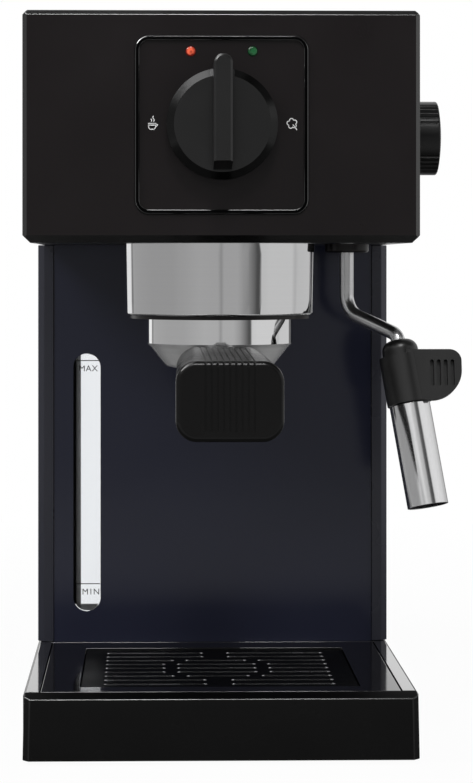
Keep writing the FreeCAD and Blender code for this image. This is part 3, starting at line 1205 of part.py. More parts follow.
def pump_barrel():
    """Pump barrel with flanges either side of the coil and a nipple at each end."""
    barrel = rod_z(PUMP_X, PUMP_Y, BARREL_LOW, BARREL_TOP, PUMP_BARREL_RADIUS)
    for z in (COIL_LOW - PUMP_FLANGE_THICK, COIL_TOP):
        barrel = barrel.fuse(rod_z(PUMP_X, PUMP_Y, z, z + PUMP_FLANGE_THICK, PUMP_FLANGE))
    low = BARREL_LOW - NIPPLE_LENGTH
    top = BARREL_TOP + NIPPLE_LENGTH
    barrel = barrel.fuse(rod_z(PUMP_X, PUMP_Y, low, top, NIPPLE_RADIUS))
    return barrel.cut(rod_z(PUMP_X, PUMP_Y, low - 1, top + 1, NIPPLE_BORE))


def pump_coil():
    coil = box(PUMP_X - COIL_WIDTH / 2, PUMP_X + COIL_WIDTH / 2, PUMP_Y - COIL_DEPTH / 2,
               PUMP_Y + COIL_DEPTH / 2, COIL_LOW, COIL_TOP)
    return coil.cut(rod_z(PUMP_X, PUMP_Y, COIL_LOW - 1, COIL_TOP + 1, PUMP_BARREL_RADIUS + FIT))


def mount_heights():
    return (BARREL_LOW + MOUNT_IN, BARREL_TOP - MOUNT_IN - MOUNT_HEIGHT)


def pump_mounts():
    """Rubber rings that carry the pump in its bracket."""
    rings = []
    for z in mount_heights():
        ring = rod_z(PUMP_X, PUMP_Y, z, z + MOUNT_HEIGHT, MOUNT_RADIUS)
        ring = ring.cut(rod_z(PUMP_X, PUMP_Y, z - 1, z + MOUNT_HEIGHT + 1, PUMP_BARREL_RADIUS + FIT))
        low = z + (MOUNT_HEIGHT - BRACKET_THICK) / 2
        groove = rod_z(PUMP_X, PUMP_Y, low, low + BRACKET_THICK, MOUNT_RADIUS + 1)
        groove = groove.cut(rod_z(PUMP_X, PUMP_Y, z, z + MOUNT_HEIGHT, PUMP_FLANGE))
        rings.append(ring.cut(groove))
    return Part.makeCompound(rings)


def pump_bracket():
    """Folded bracket on the tower's back wall with two arms round the pump mounts."""
    half = BRACKET_WIDTH / 2
    first, second = mount_heights()
    plate = box(PUMP_X - half, PUMP_X + half, WALL_FRONT - BRACKET_THICK, WALL_FRONT, first - BRACKET_OVER,
                second + MOUNT_HEIGHT + BRACKET_OVER)
    for z in (first, second):
        low = z + (MOUNT_HEIGHT - BRACKET_THICK) / 2
        top = low + BRACKET_THICK
        arm = box(PUMP_X - half, PUMP_X + half, PUMP_Y - half, WALL_FRONT - BRACKET_THICK / 2, low, top)
        plate = plate.fuse(arm.cut(rod_z(PUMP_X, PUMP_Y, low - 1, top + 1, PUMP_FLANGE + FIT)))
    return plate


PIECES = [
    base_pan, base_plate, casing_screws, rubber_feet, cord_gland, tray_front, drip_tray, drip_grille,
    tower_left, tower_right, tower_front_panel, level_window, sight_duct, tower_back,
    head_housing, head_top_cover, control_panel, red_lamp, green_lamp, lamp_board,
    selector_switch, selector_knob, selector_shaft,
    group_cover, group_head, group_gasket, shower_screen, shower_screw,
    boiler_lower, boiler_upper, boiler_seal, boiler_bolts, heating_element, thermostats,
    steam_pipe, steam_valve_body, steam_spindle, steam_knob,
    wand_collar, wand_tube, wand_grip, wand_nozzle, froth_sleeve,
    portafilter_bowl, basket_clip, filter_basket, spout, portafilter_handle, handle_stud,
    water_tank, tank_lid, lid_pin, tank_valve, tank_socket,
    suction_hose, pressure_hose, pump_barrel, pump_coil, pump_mounts, pump_bracket,
]

os.makedirs("parts", exist_ok=True)
for piece in PIECES:
    piece().exportStep(os.path.join("parts", piece.__name__ + ".step"))
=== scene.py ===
import math

import bmesh
import bpy
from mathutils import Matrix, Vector


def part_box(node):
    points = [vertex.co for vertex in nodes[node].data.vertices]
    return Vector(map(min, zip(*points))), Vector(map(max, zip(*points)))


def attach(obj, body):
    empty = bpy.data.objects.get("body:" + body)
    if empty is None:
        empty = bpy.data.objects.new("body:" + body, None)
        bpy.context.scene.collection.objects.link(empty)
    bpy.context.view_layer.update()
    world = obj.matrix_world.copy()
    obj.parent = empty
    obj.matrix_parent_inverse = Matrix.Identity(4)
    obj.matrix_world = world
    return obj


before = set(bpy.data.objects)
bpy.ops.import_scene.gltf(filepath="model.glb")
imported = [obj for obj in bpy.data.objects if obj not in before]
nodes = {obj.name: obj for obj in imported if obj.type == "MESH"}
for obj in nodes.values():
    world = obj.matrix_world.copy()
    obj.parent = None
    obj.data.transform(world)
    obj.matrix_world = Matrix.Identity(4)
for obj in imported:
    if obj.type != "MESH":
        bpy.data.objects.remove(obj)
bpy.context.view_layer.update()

# Camera. A square-on shop view from about a metre away, a little left of the middle and level with
# the brew group, so upright edges stay upright through the lens shift.
camera_data = bpy.data.cameras.new("shop_view")
camera_data.sensor_width = 36.0
camera_data.lens = 104.6
camera_data.shift_x = 0.05
camera_data.shift_y = -0.1657
camera_data.clip_start = 0.05
camera_data.clip_end = 60.0
camera = bpy.data.objects.new("shop_view", camera_data)
camera.location = (-0.0292, -1.0665, 0.2044)
camera.rotation_euler = (math.radians(90.0), 0.0, math.radians(-1.197))
bpy.context.scene.collection.objects.link(camera)
bpy.context.scene.camera = camera
bpy.context.scene.view_settings.view_transform = "Standard"

# Light tent. White cloth walls with narrow dark gaps between the panels, which is what the polished
# metal shows as upright bands. The cloth shows in reflections only.


def put(tree, kind, **inputs):
    """A shader node with its named sockets set."""
    made = tree.nodes.new(kind)
    for socket, value in inputs.items():
        made.inputs[socket.replace("_", " ")].default_value = value
    return made


def wire(tree, source, output, target, socket):
    """Links one node's output to another node's socket."""
    tree.links.new(source.outputs[output], target.inputs[socket])


def maths(tree, operation, first, second=None):
    """A Math node fed by sockets or numbers."""
    made = tree.nodes.new("ShaderNodeMath")
    made.operation = operation
    for slot_index, value in enumerate((first, second)):
        if value is None:
            continue
        if isinstance(value, (int, float)):
            made.inputs[slot_index].default_value = value
        else:
            tree.links.new(value, made.inputs[slot_index])
    return made.outputs[0]


def ramp(tree, source, stops):
    """A grey Color Ramp from (place, level) pairs."""
    made = tree.nodes.new("ShaderNodeValToRGB")
    band = made.color_ramp
    band.elements[0].position, band.elements[1].position = stops[0][0], stops[-1][0]
    for place, level in stops[1:-1]:
        band.elements.new(place)
    for element, (place, level) in zip(band.elements, stops):
        element.color = (level, level, level, 1.0)
    tree.links.new(source, made.inputs[0])
    return made.outputs[0]


world = bpy.data.worlds.new("light_tent")
bpy.context.scene.world = world
world.use_nodes = True
sky = world.node_tree
sky.nodes.clear()
heading = sky.nodes.new("ShaderNodeTexCoord")
parts = sky.nodes.new("ShaderNodeSeparateXYZ")
wire(sky, heading, "Generated", parts, 0)

# One turn round the tent: 0 and 1 lie behind the machine, 0.25 on its left, 0.5 in front.
backwards = maths(sky, "MULTIPLY", parts.outputs["Y"], -1.0)
bearing = maths(sky, "ARCTAN2", parts.outputs["X"], backwards)
turn = maths(sky, "ADD", maths(sky, "DIVIDE", bearing, 2 * math.pi), 0.5)

# From straight down at 0 to straight up at 1, and from the far left at 0 to the far right at 1.
rise = maths(sky, "ADD", maths(sky, "MULTIPLY", parts.outputs["Z"], 0.5), 0.5)
across = maths(sky, "ADD", maths(sky, "MULTIPLY", parts.outputs["X"], 0.5), 0.5)

# Cloth at eye level and the cloth above it, which blend a little over the horizon.
level_cloth = ramp(sky, turn, [
    (0.0, 0.95), (0.117, 0.95), (0.123, 0.24), (0.134, 0.24), (0.141, 0.46), (0.155, 0.43), (0.25, 0.40),
    (0.333, 0.40), (0.431, 0.47), (0.489, 0.46), (0.50, 0.34), (0.511, 0.46), (0.556, 0.46), (0.583, 0.36),
    (0.606, 0.21), (0.625, 0.09), (0.635, 0.09), (0.639, 0.66), (0.667, 0.70), (0.764, 0.70), (0.786, 0.56),
    (0.80, 0.65), (0.886, 0.65), (0.895, 0.14), (0.914, 0.14), (0.926, 0.60), (0.945, 0.95), (1.0, 0.95)])
upper_cloth = ramp(sky, turn, [
    (0.0, 0.95), (0.08, 0.20), (0.15, 0.42), (0.25, 0.34), (0.30, 0.24), (0.345, 0.24), (0.375, 0.85),
    (0.44, 1.0), (0.475, 1.0), (0.492, 0.74), (0.535, 0.62), (0.555, 0.16), (0.60, 0.06), (0.622, 0.95),
    (0.70, 1.0), (0.76, 0.92), (0.84, 0.85), (1.0, 0.95)])
upward = ramp(sky, rise, [(0.555, 0.0), (0.60, 1.0)])
below = maths(sky, "MULTIPLY", level_cloth, maths(sky, "SUBTRACT", 1.0, upward))
walls = maths(sky, "ADD", maths(sky, "MULTIPLY", upper_cloth, upward), below)

# The dark doorway in front, which the camera looks through.
doorway_width = ramp(sky, turn, [(0.40, 0.0), (0.44, 0.85), (0.56, 0.85), (0.60, 0.0)])
doorway_height = ramp(sky, rise, [(0.535, 0.0), (0.55, 1.0), (0.60, 1.0), (0.63, 0.0)])
doorway = maths(sky, "MULTIPLY", doorway_width, doorway_height)
walls = maths(sky, "MULTIPLY", walls, maths(sky, "SUBTRACT", 1.0, doorway))

# The cloth darkens towards floor and roof, and in the upper right and lower left corners.
height = ramp(sky, rise, [(0.0, 0.15), (0.28, 0.4), (0.40, 1.0), (0.82, 1.0), (0.92, 0.25), (1.0, 0.15)])
diagonal = maths(sky, "MULTIPLY", parts.outputs["X"], parts.outputs["Z"])
corner = ramp(sky, diagonal, [(0.34, 1.0), (0.42, 0.15)])
tent = maths(sky, "MULTIPLY", maths(sky, "MULTIPLY", walls, height), corner)

# A lit panel in the roof on the left.
canopy_strength = 5.0
canopy_width = ramp(sky, across, [(0.17, 0.0), (0.23, 1.0), (0.40, 1.0), (0.43, 0.0)])
canopy = maths(sky, "MULTIPLY", canopy_width, ramp(sky, rise, [(0.85, 0.0), (0.89, 1.0)]))
tent = maths(sky, "MAXIMUM", tent, maths(sky, "MULTIPLY", canopy, canopy_strength))

# Plain white where it is seen directly or through clear plastic, the tent in reflections, and an
# even light on everything else.
even_light = 0.30
path = sky.nodes.new("ShaderNodeLightPath")
seen = maths(sky, "MAXIMUM", path.outputs["Is Camera Ray"], path.outputs["Is Transmission Ray"])
mirrored = maths(sky, "MULTIPLY", path.outputs["Is Glossy Ray"], tent)
unmirrored = maths(sky, "SUBTRACT", 1.0, path.outputs["Is Glossy Ray"])
ambient = maths(sky, "MULTIPLY", unmirrored, even_light)
brightness = maths(sky, "MAXIMUM", seen, maths(sky, "ADD", mirrored, ambient))
backdrop = put(sky, "ShaderNodeBackground", Color=(1.0, 1.0, 1.0, 1.0))
sky.links.new(brightness, backdrop.inputs["Strength"])
sky_out = sky.nodes.new("ShaderNodeOutputWorld")
wire(sky, backdrop, 0, sky_out, "Surface")

# Paper floor. A white sheet just under the feet that keeps the machine's shadow near it and turns
# plain white further out; in reflections it carries painted shade, darker in a wide oval round the machine.
paper_drop = 0.0004
floor_mesh = bpy.data.meshes.new("paper_floor")
floor_mesh.from_pydata([(-1, -1, 0), (1, -1, 0), (1, 1, 0), (-1, 1, 0)], [], [(0, 1, 2, 3)])
floor = bpy.data.objects.new("paper_floor", floor_mesh)
floor.location.z = -paper_drop
bpy.context.scene.collection.objects.link(floor)
paper = bpy.data.materials.new("white_paper")
paper.use_nodes = True
sheet = paper.node_tree
sheet.nodes.clear()
sheet_path = sheet.nodes.new("ShaderNodeLightPath")
sheet_place = sheet.nodes.new("ShaderNodeTexCoord")
matt = put(sheet, "ShaderNodeBsdfDiffuse", Color=(0.38, 0.38, 0.38, 1.0))
glow = put(sheet, "ShaderNodeEmission", Color=(1.0, 1.0, 1.0, 1.0), Strength=1.0)
shade = put(sheet, "ShaderNodeBsdfDiffuse", Color=(0.10, 0.10, 0.10, 1.0))

away = sheet.nodes.new("ShaderNodeVectorMath")
away.operation = "LENGTH"
wire(sheet, sheet_place, "Object", away, 0)
fade = ramp(sheet, away.outputs["Value"], [(0.22, 0.965), (0.75, 1.0)])
whiten = maths(sheet, "MULTIPLY", sheet_path.outputs["Is Camera Ray"], fade)
whiten = maths(sheet, "MAXIMUM", whiten, sheet_path.outputs["Is Transmission Ray"])
whitened = sheet.nodes.new("ShaderNodeMixShader")
sheet.links.new(whiten, whitened.inputs[0])
wire(sheet, matt, 0, whitened, 1)
wire(sheet, glow, 0, whitened, 2)

# Painted shade: near the machine, glossy rays see a darker grey sheet instead of the white paper.
squeezed = sheet.nodes.new("ShaderNodeVectorMath")
squeezed.operation = "MULTIPLY"
squeezed.inputs[1].default_value = (0.5, 1.0, 1.0)
wire(sheet, sheet_place, "Object", squeezed, 0)
sideways = sheet.nodes.new("ShaderNodeVectorMath")
sideways.operation = "LENGTH"
wire(sheet, squeezed, "Vector", sideways, 0)
painted_shade_oval = ramp(sheet, sideways.outputs["Value"], [(0.33, 1.0), (0.41, 0.0)])
painted_shade_oval = maths(sheet, "MULTIPLY", painted_shade_oval, sheet_path.outputs["Is Glossy Ray"])
clear_of_glass = maths(sheet, "SUBTRACT", 1.0, sheet_path.outputs["Is Transmission Ray"])
shaded = sheet.nodes.new("ShaderNodeMixShader")
sheet.links.new(maths(sheet, "MULTIPLY", painted_shade_oval, clear_of_glass), shaded.inputs[0])
wire(sheet, whitened, 0, shaded, 1)
wire(sheet, shade, 0, shaded, 2)
sheet_out = sheet.nodes.new("ShaderNodeOutputMaterial")
wire(sheet, shaded, 0, sheet_out, "Surface")
floor_mesh.materials.append(paper)

# Lamps. Three square soft boxes aimed at the middle of the machine: the key from the upper left, one
# high in front, and a weaker fill on the right that the polished pieces don't show.
lamp_aim = (0, -0.1, 0.2)


def soft_box(name, place, width, power):
    """A square soft lamp that faces the machine."""
    data = bpy.data.lights.new(name, "AREA")
    data.shape = "SQUARE"
    data.size = width
    data.energy = power
    lamp = bpy.data.objects.new(name, data)
    lamp.location = place
    lamp.rotation_euler = (Vector(lamp_aim) - Vector(place)).to_track_quat("-Z", "Y").to_euler()
    bpy.context.scene.collection.objects.link(lamp)
    return lamp


soft_box("key_left", (-1.0, -0.5, 1.25), width=0.6, power=22)
soft_box("front_top", (0.0, -1.25, 1.6), width=0.4, power=16)
fill_right = soft_box("fill_right", (1.3, -0.3, 0.75), width=0.65, power=13)
fill_right.visible_glossy = False

# Base pan. A glossy black moulded tray on four rubber feet that carries the whole machine; its two
# side rails stand up beside the drip tray. A satin plate is screwed on from below, and a satin gland
# lines the cord inlet.


def group(name, inputs, outputs):
    """An empty shader node group with named float sockets."""
    made = bpy.data.node_groups.new(name, "ShaderNodeTree")
    for label, value in inputs:
        socket = made.interface.new_socket(label, in_out="INPUT", socket_type="NodeSocketFloat")
        socket.default_value = value
    for label in outputs:
        made.interface.new_socket(label, in_out="OUTPUT", socket_type="NodeSocketFloat")
    return made, made.nodes.new("NodeGroupInput"), made.nodes.new("NodeGroupOutput")


# Moulded skin: the fine spark-eroded grain of a plastic tool and the slow mottle of handling.
moulded_skin, skin_in, skin_out = group(
    "moulded_skin", [("Grain", 2600.0), ("Mottle", 22.0)], ["Height", "Mottle"])
skin_place = moulded_skin.nodes.new("ShaderNodeTexCoord")
skin_grain = put(moulded_skin, "ShaderNodeTexNoise", Detail=3.0, Roughness=0.6)
skin_mottle = put(moulded_skin, "ShaderNodeTexNoise", Detail=4.0, Roughness=0.55)
for texture, socket in ((skin_grain, "Grain"), (skin_mottle, "Mottle")):
    wire(moulded_skin, skin_place, "Object", texture, "Vector")
    wire(moulded_skin, skin_in, socket, texture, "Scale")
wire(moulded_skin, skin_grain, "Fac", skin_out, "Height")
wire(moulded_skin, skin_mottle, "Fac", skin_out, "Mottle")


def surface(name):
    """A new material, its tree and its Principled shader."""
    made = bpy.data.materials.new(name)
    made.use_nodes = True
    tree = made.node_tree
    return made, tree, tree.nodes["Principled BSDF"]


def tinted(tree, dark, light, source, target):
    """Blends two colours by a socket and feeds the target socket."""
    tint = tree.nodes.new("ShaderNodeMix")
    tint.data_type = "RGBA"
    tint.inputs["A"].default_value = (*dark, 1.0)
    tint.inputs["B"].default_value = (*light, 1.0)
    tree.links.new(source, tint.inputs["Factor"])
    wire(tree, tint, "Result", target.node, target.name)


def spread(tree, source, limits, target):
    """Spreads a mask from about 0.3 to 0.7 over two limits and feeds the target socket."""
    made = put(tree, "ShaderNodeMapRange", From_Min=0.3, From_Max=0.7, To_Min=limits[0], To_Max=limits[1])
    tree.links.new(source, made.inputs["Value"])
    tree.links.new(made.outputs["Result"], target)


def relief(tree, source, shader, strength, distance):
    """Bumps a shader's normal by a height socket."""
    bump = put(tree, "ShaderNodeBump", Strength=strength, Distance=distance)
    tree.links.new(source, bump.inputs["Height"])
    wire(tree, bump, "Normal", shader, "Normal")


def moulded(name, dark, light, roughness, grain=2600.0, depth=0.05, specular=0.45, coat=0.0):
    """Moulded plastic: colour and gloss mottle a little, and the grain breaks up the shine."""
    made, tree, shader = surface(name)
    skin = tree.nodes.new("ShaderNodeGroup")
    skin.node_tree = moulded_skin
    skin.inputs["Grain"].default_value = grain
    tinted(tree, dark, light, skin.outputs["Mottle"], shader.inputs["Base Color"])
    spread(tree, skin.outputs["Mottle"], roughness, shader.inputs["Roughness"])
    relief(tree, skin.outputs["Height"], shader, strength=depth, distance=0.0002)
    shader.inputs["Specular IOR Level"].default_value = specular
    shader.inputs["Coat Weight"].default_value = coat
    shader.inputs["Coat Roughness"].default_value = 0.04
    return made


def dress(material, *names):
    """Gives CAD nodes this material."""
    for name in names:
        nodes[name].data.materials.clear()
        nodes[name].data.materials.append(material)


def soft_edges(width, *names):
    """Rounds the sharp edges of CAD nodes by a moulding radius, in metres."""
    for name in names:
        weld = nodes[name].modifiers.new("join", "WELD")
        weld.merge_threshold = 2e-6
        flat = nodes[name].modifiers.new("flat", "DECIMATE")
        flat.decimate_type = "DISSOLVE"
        flat.angle_limit = math.radians(0.6)
        edge = nodes[name].modifiers.new("edge", "BEVEL")
        edge.width = width
        edge.segments = 2
        edge.limit_method = "ANGLE"
        edge.angle_limit = math.radians(33)
        nodes[name].modifiers.new("shade", "WEIGHTED_NORMAL")
        for face in nodes[name].data.polygons:
            face.use_smooth = True


rail_gloss = moulded("rail_gloss", (0.0016, 0.0016, 0.0018), (0.0024, 0.0024, 0.0027), (0.07, 0.11),
                     grain=900.0, depth=0.006, specular=0.9, coat=1.0)
dress(rail_gloss, "base_pan")
satin_black = moulded("satin_black", (0.0042, 0.0028, 0.0031), (0.0052, 0.0034, 0.0038), (0.26, 0.34),
                      specular=0.29)
dress(satin_black, "base_plate", "cord_gland")
soft_edges(0.00035, "base_pan", "cord_gland")

# Rubber feet and the screws that hold the bottom plate. The feet are pressed into round seats;
# the screws are plain zinc-plated pan heads.
foot_rubber = moulded("foot_rubber", (0.010, 0.010, 0.010), (0.018, 0.018, 0.017), (0.72, 0.86),
                      grain=1500.0, depth=0.25, specular=0.25)
dress(foot_rubber, "rubber_feet")

# Drawn steel: fine lines left by turning or drawing, across the height of the piece.
drawn_lines, lines_in, lines_out = group(
    "drawn_lines", [("Lines", 900.0), ("Along", 6.0)], ["Height", "Cloud"])
lines_place = drawn_lines.nodes.new("ShaderNodeTexCoord")
lines_split = drawn_lines.nodes.new("ShaderNodeSeparateXYZ")
wire(drawn_lines, lines_place, "Object", lines_split, 0)
lines_join = drawn_lines.nodes.new("ShaderNodeCombineXYZ")
for axis, density in (("X", "Along"), ("Y", "Along"), ("Z", "Lines")):
    stretched = maths(drawn_lines, "MULTIPLY", lines_split.outputs[axis], lines_in.outputs[density])
    drawn_lines.links.new(stretched, lines_join.inputs[axis])
lines_noise = put(drawn_lines, "ShaderNodeTexNoise", Scale=1.0, Detail=3.0, Roughness=0.6)
wire(drawn_lines, lines_join, 0, lines_noise, "Vector")
cloud_noise = put(drawn_lines, "ShaderNodeTexNoise", Scale=45.0, Detail=3.0, Roughness=0.5)
wire(drawn_lines, lines_place, "Object", cloud_noise, "Vector")
wire(drawn_lines, lines_noise, "Fac", lines_out, "Height")
wire(drawn_lines, cloud_noise, "Fac", lines_out, "Cloud")


def metal(name, dark, light, roughness, lines=900.0, along=6.0, depth=0.03, metallic=1.0):
    """Bare metal with tool lines and a faint cloud in its gloss."""
    made, tree, shader = surface(name)
    marks = tree.nodes.new("ShaderNodeGroup")
    marks.node_tree = drawn_lines
    marks.inputs["Lines"].default_value = lines
    marks.inputs["Along"].default_value = along
    tinted(tree, dark, light, marks.outputs["Height"], shader.inputs["Base Color"])
    spread(tree, marks.outputs["Cloud"], roughness, shader.inputs["Roughness"])
    relief(tree, marks.outputs["Height"], shader, strength=depth, distance=0.0001)
    shader.inputs["Metallic"].default_value = metallic
    return made


zinc = metal("zinc_plate", (0.50, 0.50, 0.51), (0.66, 0.66, 0.67), (0.24, 0.36), lines=1400.0)
dress(zinc, "casing_screws")

# Drip tray. One gloss black moulding slides out between the rails; its satin front plate is the
# pull, with a dull sloped top and shiny edges. The loose grille lies in a sunk seat in the tray's
# top, and the walls of its slots are bare steel.


def pick_out(name, material, chosen):
    """Gives a further material to the faces of a CAD node that a test chooses."""
    data = nodes[name].data
    data.materials.append(material)
    for face in data.polygons:
        if chosen(face):
            face.material_index = len(data.materials) - 1


def shiny_edges(name, material):
    """Gives the rounded edges of a CAD node a material of their own."""
    finishes = nodes[name].data.materials
    if finishes.find(material.name) < 0:
        finishes.append(material)
    nodes[name].modifiers["edge"].material = finishes.find(material.name)


gloss_black = moulded("gloss_black", (0.0032, 0.0031, 0.0036), (0.0040, 0.0039, 0.0045), (0.07, 0.11),
                      grain=900.0, depth=0.006, specular=0.5)
dress(gloss_black, "drip_tray")
soft_edges(0.0003, "drip_tray")
grille_black = moulded("grille_black", (0.0008, 0.0008, 0.0009), (0.0013, 0.0013, 0.0014), (0.30, 0.40),
                       grain=1800.0, depth=0.02, specular=0.02)
dress(grille_black, "drip_grille")
slot_edge = metal("slot_edge", (0.52, 0.52, 0.53), (0.62, 0.62, 0.63), (0.20, 0.30), lines=1800.0)
grille_low, grille_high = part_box("drip_grille")
grille_rim = 0.002


def slot_wall(face):
    """True for the upright walls inside the grille's rim."""
    upright = abs(face.normal.z) < 0.5
    within_x = grille_low.x + grille_rim < face.center.x < grille_high.x - grille_rim
    within_y = grille_low.y + grille_rim < face.center.y < grille_high.y - grille_rim
    return upright and within_x and within_y


pick_out("drip_grille", slot_edge, slot_wall)
soft_edges(0.0002, "drip_grille")
plate_black = moulded("plate_black", (0.0050, 0.0050, 0.0050), (0.0062, 0.0062, 0.0062), (0.22, 0.30),
                      depth=0.04, specular=0.12)
dress(plate_black, "tray_front")
sloped_up = 0.2
pick_out("tray_front", grille_black, lambda face: face.normal.z > sloped_up)
edge_gloss = moulded("edge_gloss", (0.0030, 0.0030, 0.0030), (0.0040, 0.0040, 0.0040), (0.16, 0.22),
                     depth=0.02, specular=1.0)
soft_edges(0.0004, "tray_front")
shiny_edges("tray_front", edge_gloss)

# Tower. Two satin side panels with chamfered front stiles grip a glossy, very dark blue front
# panel; a back wall closes it, and a dark duct lets light through behind the level window.
tower_black = moulded("tower_black", (0.0128, 0.0134, 0.0208), (0.0148, 0.0154, 0.0234), (0.24, 0.32))
dress(tower_black, "tower_left", "tower_right", "tower_back")
navy_gloss = moulded("navy_gloss", (0.0128, 0.0142, 0.0262), (0.0146, 0.0160, 0.0292), (0.09, 0.13),
                     grain=900.0, depth=0.006, specular=0.29)
dress(navy_gloss, "tower_front_panel")
duct_black = moulded("duct_black", (0.030, 0.030, 0.031), (0.042, 0.042, 0.043), (0.55, 0.70))
dress(duct_black, "sight_duct")
soft_edges(0.00035, "tower_left", "tower_right")
soft_edges(0.0002, "tower_front_panel")

# Level window. A clear acrylic bar snapped into the panel's slot; the MAX and MIN marks, each a thin
# line with its word below, are printed on its face in black ink.
ripple_density = 60.0


def clear(name, roughness, ior, tint):
    """Clear moulded plastic with a faint ripple."""
    made, tree, shader = surface(name)
    shader.inputs["Base Color"].default_value = (*tint, 1.0)
    shader.inputs["Transmission Weight"].default_value = 1.0
    shader.inputs["IOR"].default_value = ior
    skin = tree.nodes.new("ShaderNodeGroup")
    skin.node_tree = moulded_skin
    skin.inputs["Grain"].default_value = ripple_density
    spread(tree, skin.outputs["Mottle"], roughness, shader.inputs["Roughness"])
    relief(tree, skin.outputs["Height"], shader, strength=0.003, distance=0.0002)
    return made


clear_acrylic = clear("clear_acrylic", roughness=(0.0, 0.02), ior=1.15, tint=(0.89, 0.893, 0.90))
dress(clear_acrylic, "level_window")


def printed(name, data, material, body):
    """A printed mesh that rides on a body."""
    data.materials.clear()
    data.materials.append(material)
    made = bpy.data.objects.new(name, data)
    bpy.context.scene.collection.objects.link(made)
    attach(made, body)


def flat_piece(name, outlines, depth, material, body):
    """A thin printed shape on a front face, from (x, y, z) outlines."""
    print_mesh = bmesh.new()
    for outline in outlines:
        face = print_mesh.faces.new([print_mesh.verts.new(point) for point in outline])
        raised = bmesh.ops.extrude_face_region(print_mesh, geom=[face])
        moved = [vert for vert in raised["geom"] if isinstance(vert, bmesh.types.BMVert)]
        bmesh.ops.translate(print_mesh, verts=moved, vec=(0, -depth, 0))
    bmesh.ops.recalc_face_normals(print_mesh, faces=print_mesh.faces)
    data = bpy.data.meshes.new(name)
    print_mesh.to_mesh(data)
    print_mesh.free()
    printed(name, data, material, body)


def front_word(name, text, foot, size, spacing, material, body):
    """A printed word on a front face, centred over the (x, y, z) of its foot."""
    letters = bpy.data.curves.new(name, "FONT")
    letters.body = text
    letters.size = size
    letters.space_character = spacing
    letters.align_x = "CENTER"
    letters.extrude = 0.00004
    word = bpy.data.objects.new(name + "_word", letters)
    word.location = foot
    word.rotation_euler = (math.radians(90), 0, 0)
    bpy.context.scene.collection.objects.link(word)
    bpy.context.view_layer.update()
    data = bpy.data.meshes.new_from_object(word.evaluated_get(bpy.context.evaluated_depsgraph_get()))
    data.transform(word.matrix_world)
    bpy.data.objects.remove(word)
    printed(name, data, material, body)


mark_ink = moulded("mark_ink", (0.006, 0.006, 0.006), (0.012, 0.012, 0.012), (0.45, 0.6))
window_low, window_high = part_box("level_window")
window_middle = (window_low.x + window_high.x) / 2
ink_gap, ink_depth = 0.00002, 0.00012
window_face = window_low.y - ink_gap
word_size = 0.0039
line_left, line_right = window_middle - 0.0050, window_middle + 0.0060
line_thick = 0.0004
max_line, min_line = window_high.z - 0.00545, window_low.z + 0.0146
for word, line, word_shift, word_drop, spacing in (("MAX", max_line, 0.0006, 0.00475, 1.10),
                                                   ("MIN", min_line, 0.0018, 0.00480, 1.30)):
    word_foot = (window_middle + word_shift, window_face, line - word_drop)
    front_word("level_" + word.lower(), word, word_foot, word_size, spacing,
               mark_ink, "machine")
    line_corners = [(line_left, window_face, line), (line_right, window_face, line),
                    (line_right, window_face, line + line_thick), (line_left, window_face, line + line_thick)]
    flat_piece("level_line_" + word.lower(), [line_corners], ink_depth, mark_ink, "machine")

# Pump and its hoses. A vibration pump hangs in two rubber rings on a steel bracket in the tower;
# silicone hose brings water from the tank and sends it up to the boiler.
brass = metal("turned_brass", (0.52, 0.36, 0.13), (0.66, 0.48, 0.20), (0.22, 0.34), lines=1200.0)
dress(brass, "pump_barrel")
coil_cover = moulded("coil_cover", (0.020, 0.030, 0.070), (0.030, 0.045, 0.095), (0.40, 0.52))
dress(coil_cover, "pump_coil")
seal_rubber = moulded("seal_rubber", (0.012, 0.012, 0.012), (0.020, 0.020, 0.019), (0.60, 0.75),
                      grain=1500.0, depth=0.15, specular=0.3)
dress(seal_rubber, "pump_mounts")
dress(zinc, "pump_bracket")
silicone = moulded("milky_silicone", (0.55, 0.54, 0.50), (0.66, 0.65, 0.61), (0.42, 0.55),
                   grain=700.0, depth=0.04, specular=0.4)
dress(silicone, "suction_hose", "pressure_hose")

# Boiler and brew group. Two cast aluminium halves are bolted over a seal with the heating coil
# inside; below them the bayonet ring, its gasket and the shower screen take the portafilter. A
# polished cover hides the ring, whose lower lip under it is painted black as a painted shadow line.
cast_aluminium = metal("cast_aluminium", (0.52, 0.52, 0.53), (0.68, 0.68, 0.69), (0.36, 0.50),
                       lines=500.0, along=300.0, depth=0.12)
dress(cast_aluminium, "boiler_lower", "boiler_upper", "group_head")
dress(seal_rubber, "boiler_seal", "group_gasket")
bright_steel = metal("bright_steel", (0.55, 0.55, 0.56), (0.68, 0.68, 0.69), (0.16, 0.26), lines=1500.0)
dress(bright_steel, "boiler_bolts", "heating_element", "shower_screen", "shower_screw")
sensor_can = metal("sensor_can", (0.45, 0.45, 0.46), (0.58, 0.58, 0.59), (0.25, 0.35))
dress(sensor_can, "thermostats")
polished_steel = metal("polished_steel", (0.69, 0.69, 0.695), (0.725, 0.725, 0.73), (0.03, 0.06),
                       lines=2200.0, along=3.0, depth=0.003)
dress(polished_steel, "group_cover")
soft_edges(0.00025, "group_cover")
# Painted shadow: the ring's faces below the cover's lower edge take black for the dark gap under the cover.
ring_points = nodes["group_head"].data.vertices
lip_height = 0.0005
lip_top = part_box("group_cover")[0].z + lip_height
pick_out("group_head", satin_black,
         lambda face: min(ring_points[point].co.z for point in face.vertices) < lip_top)

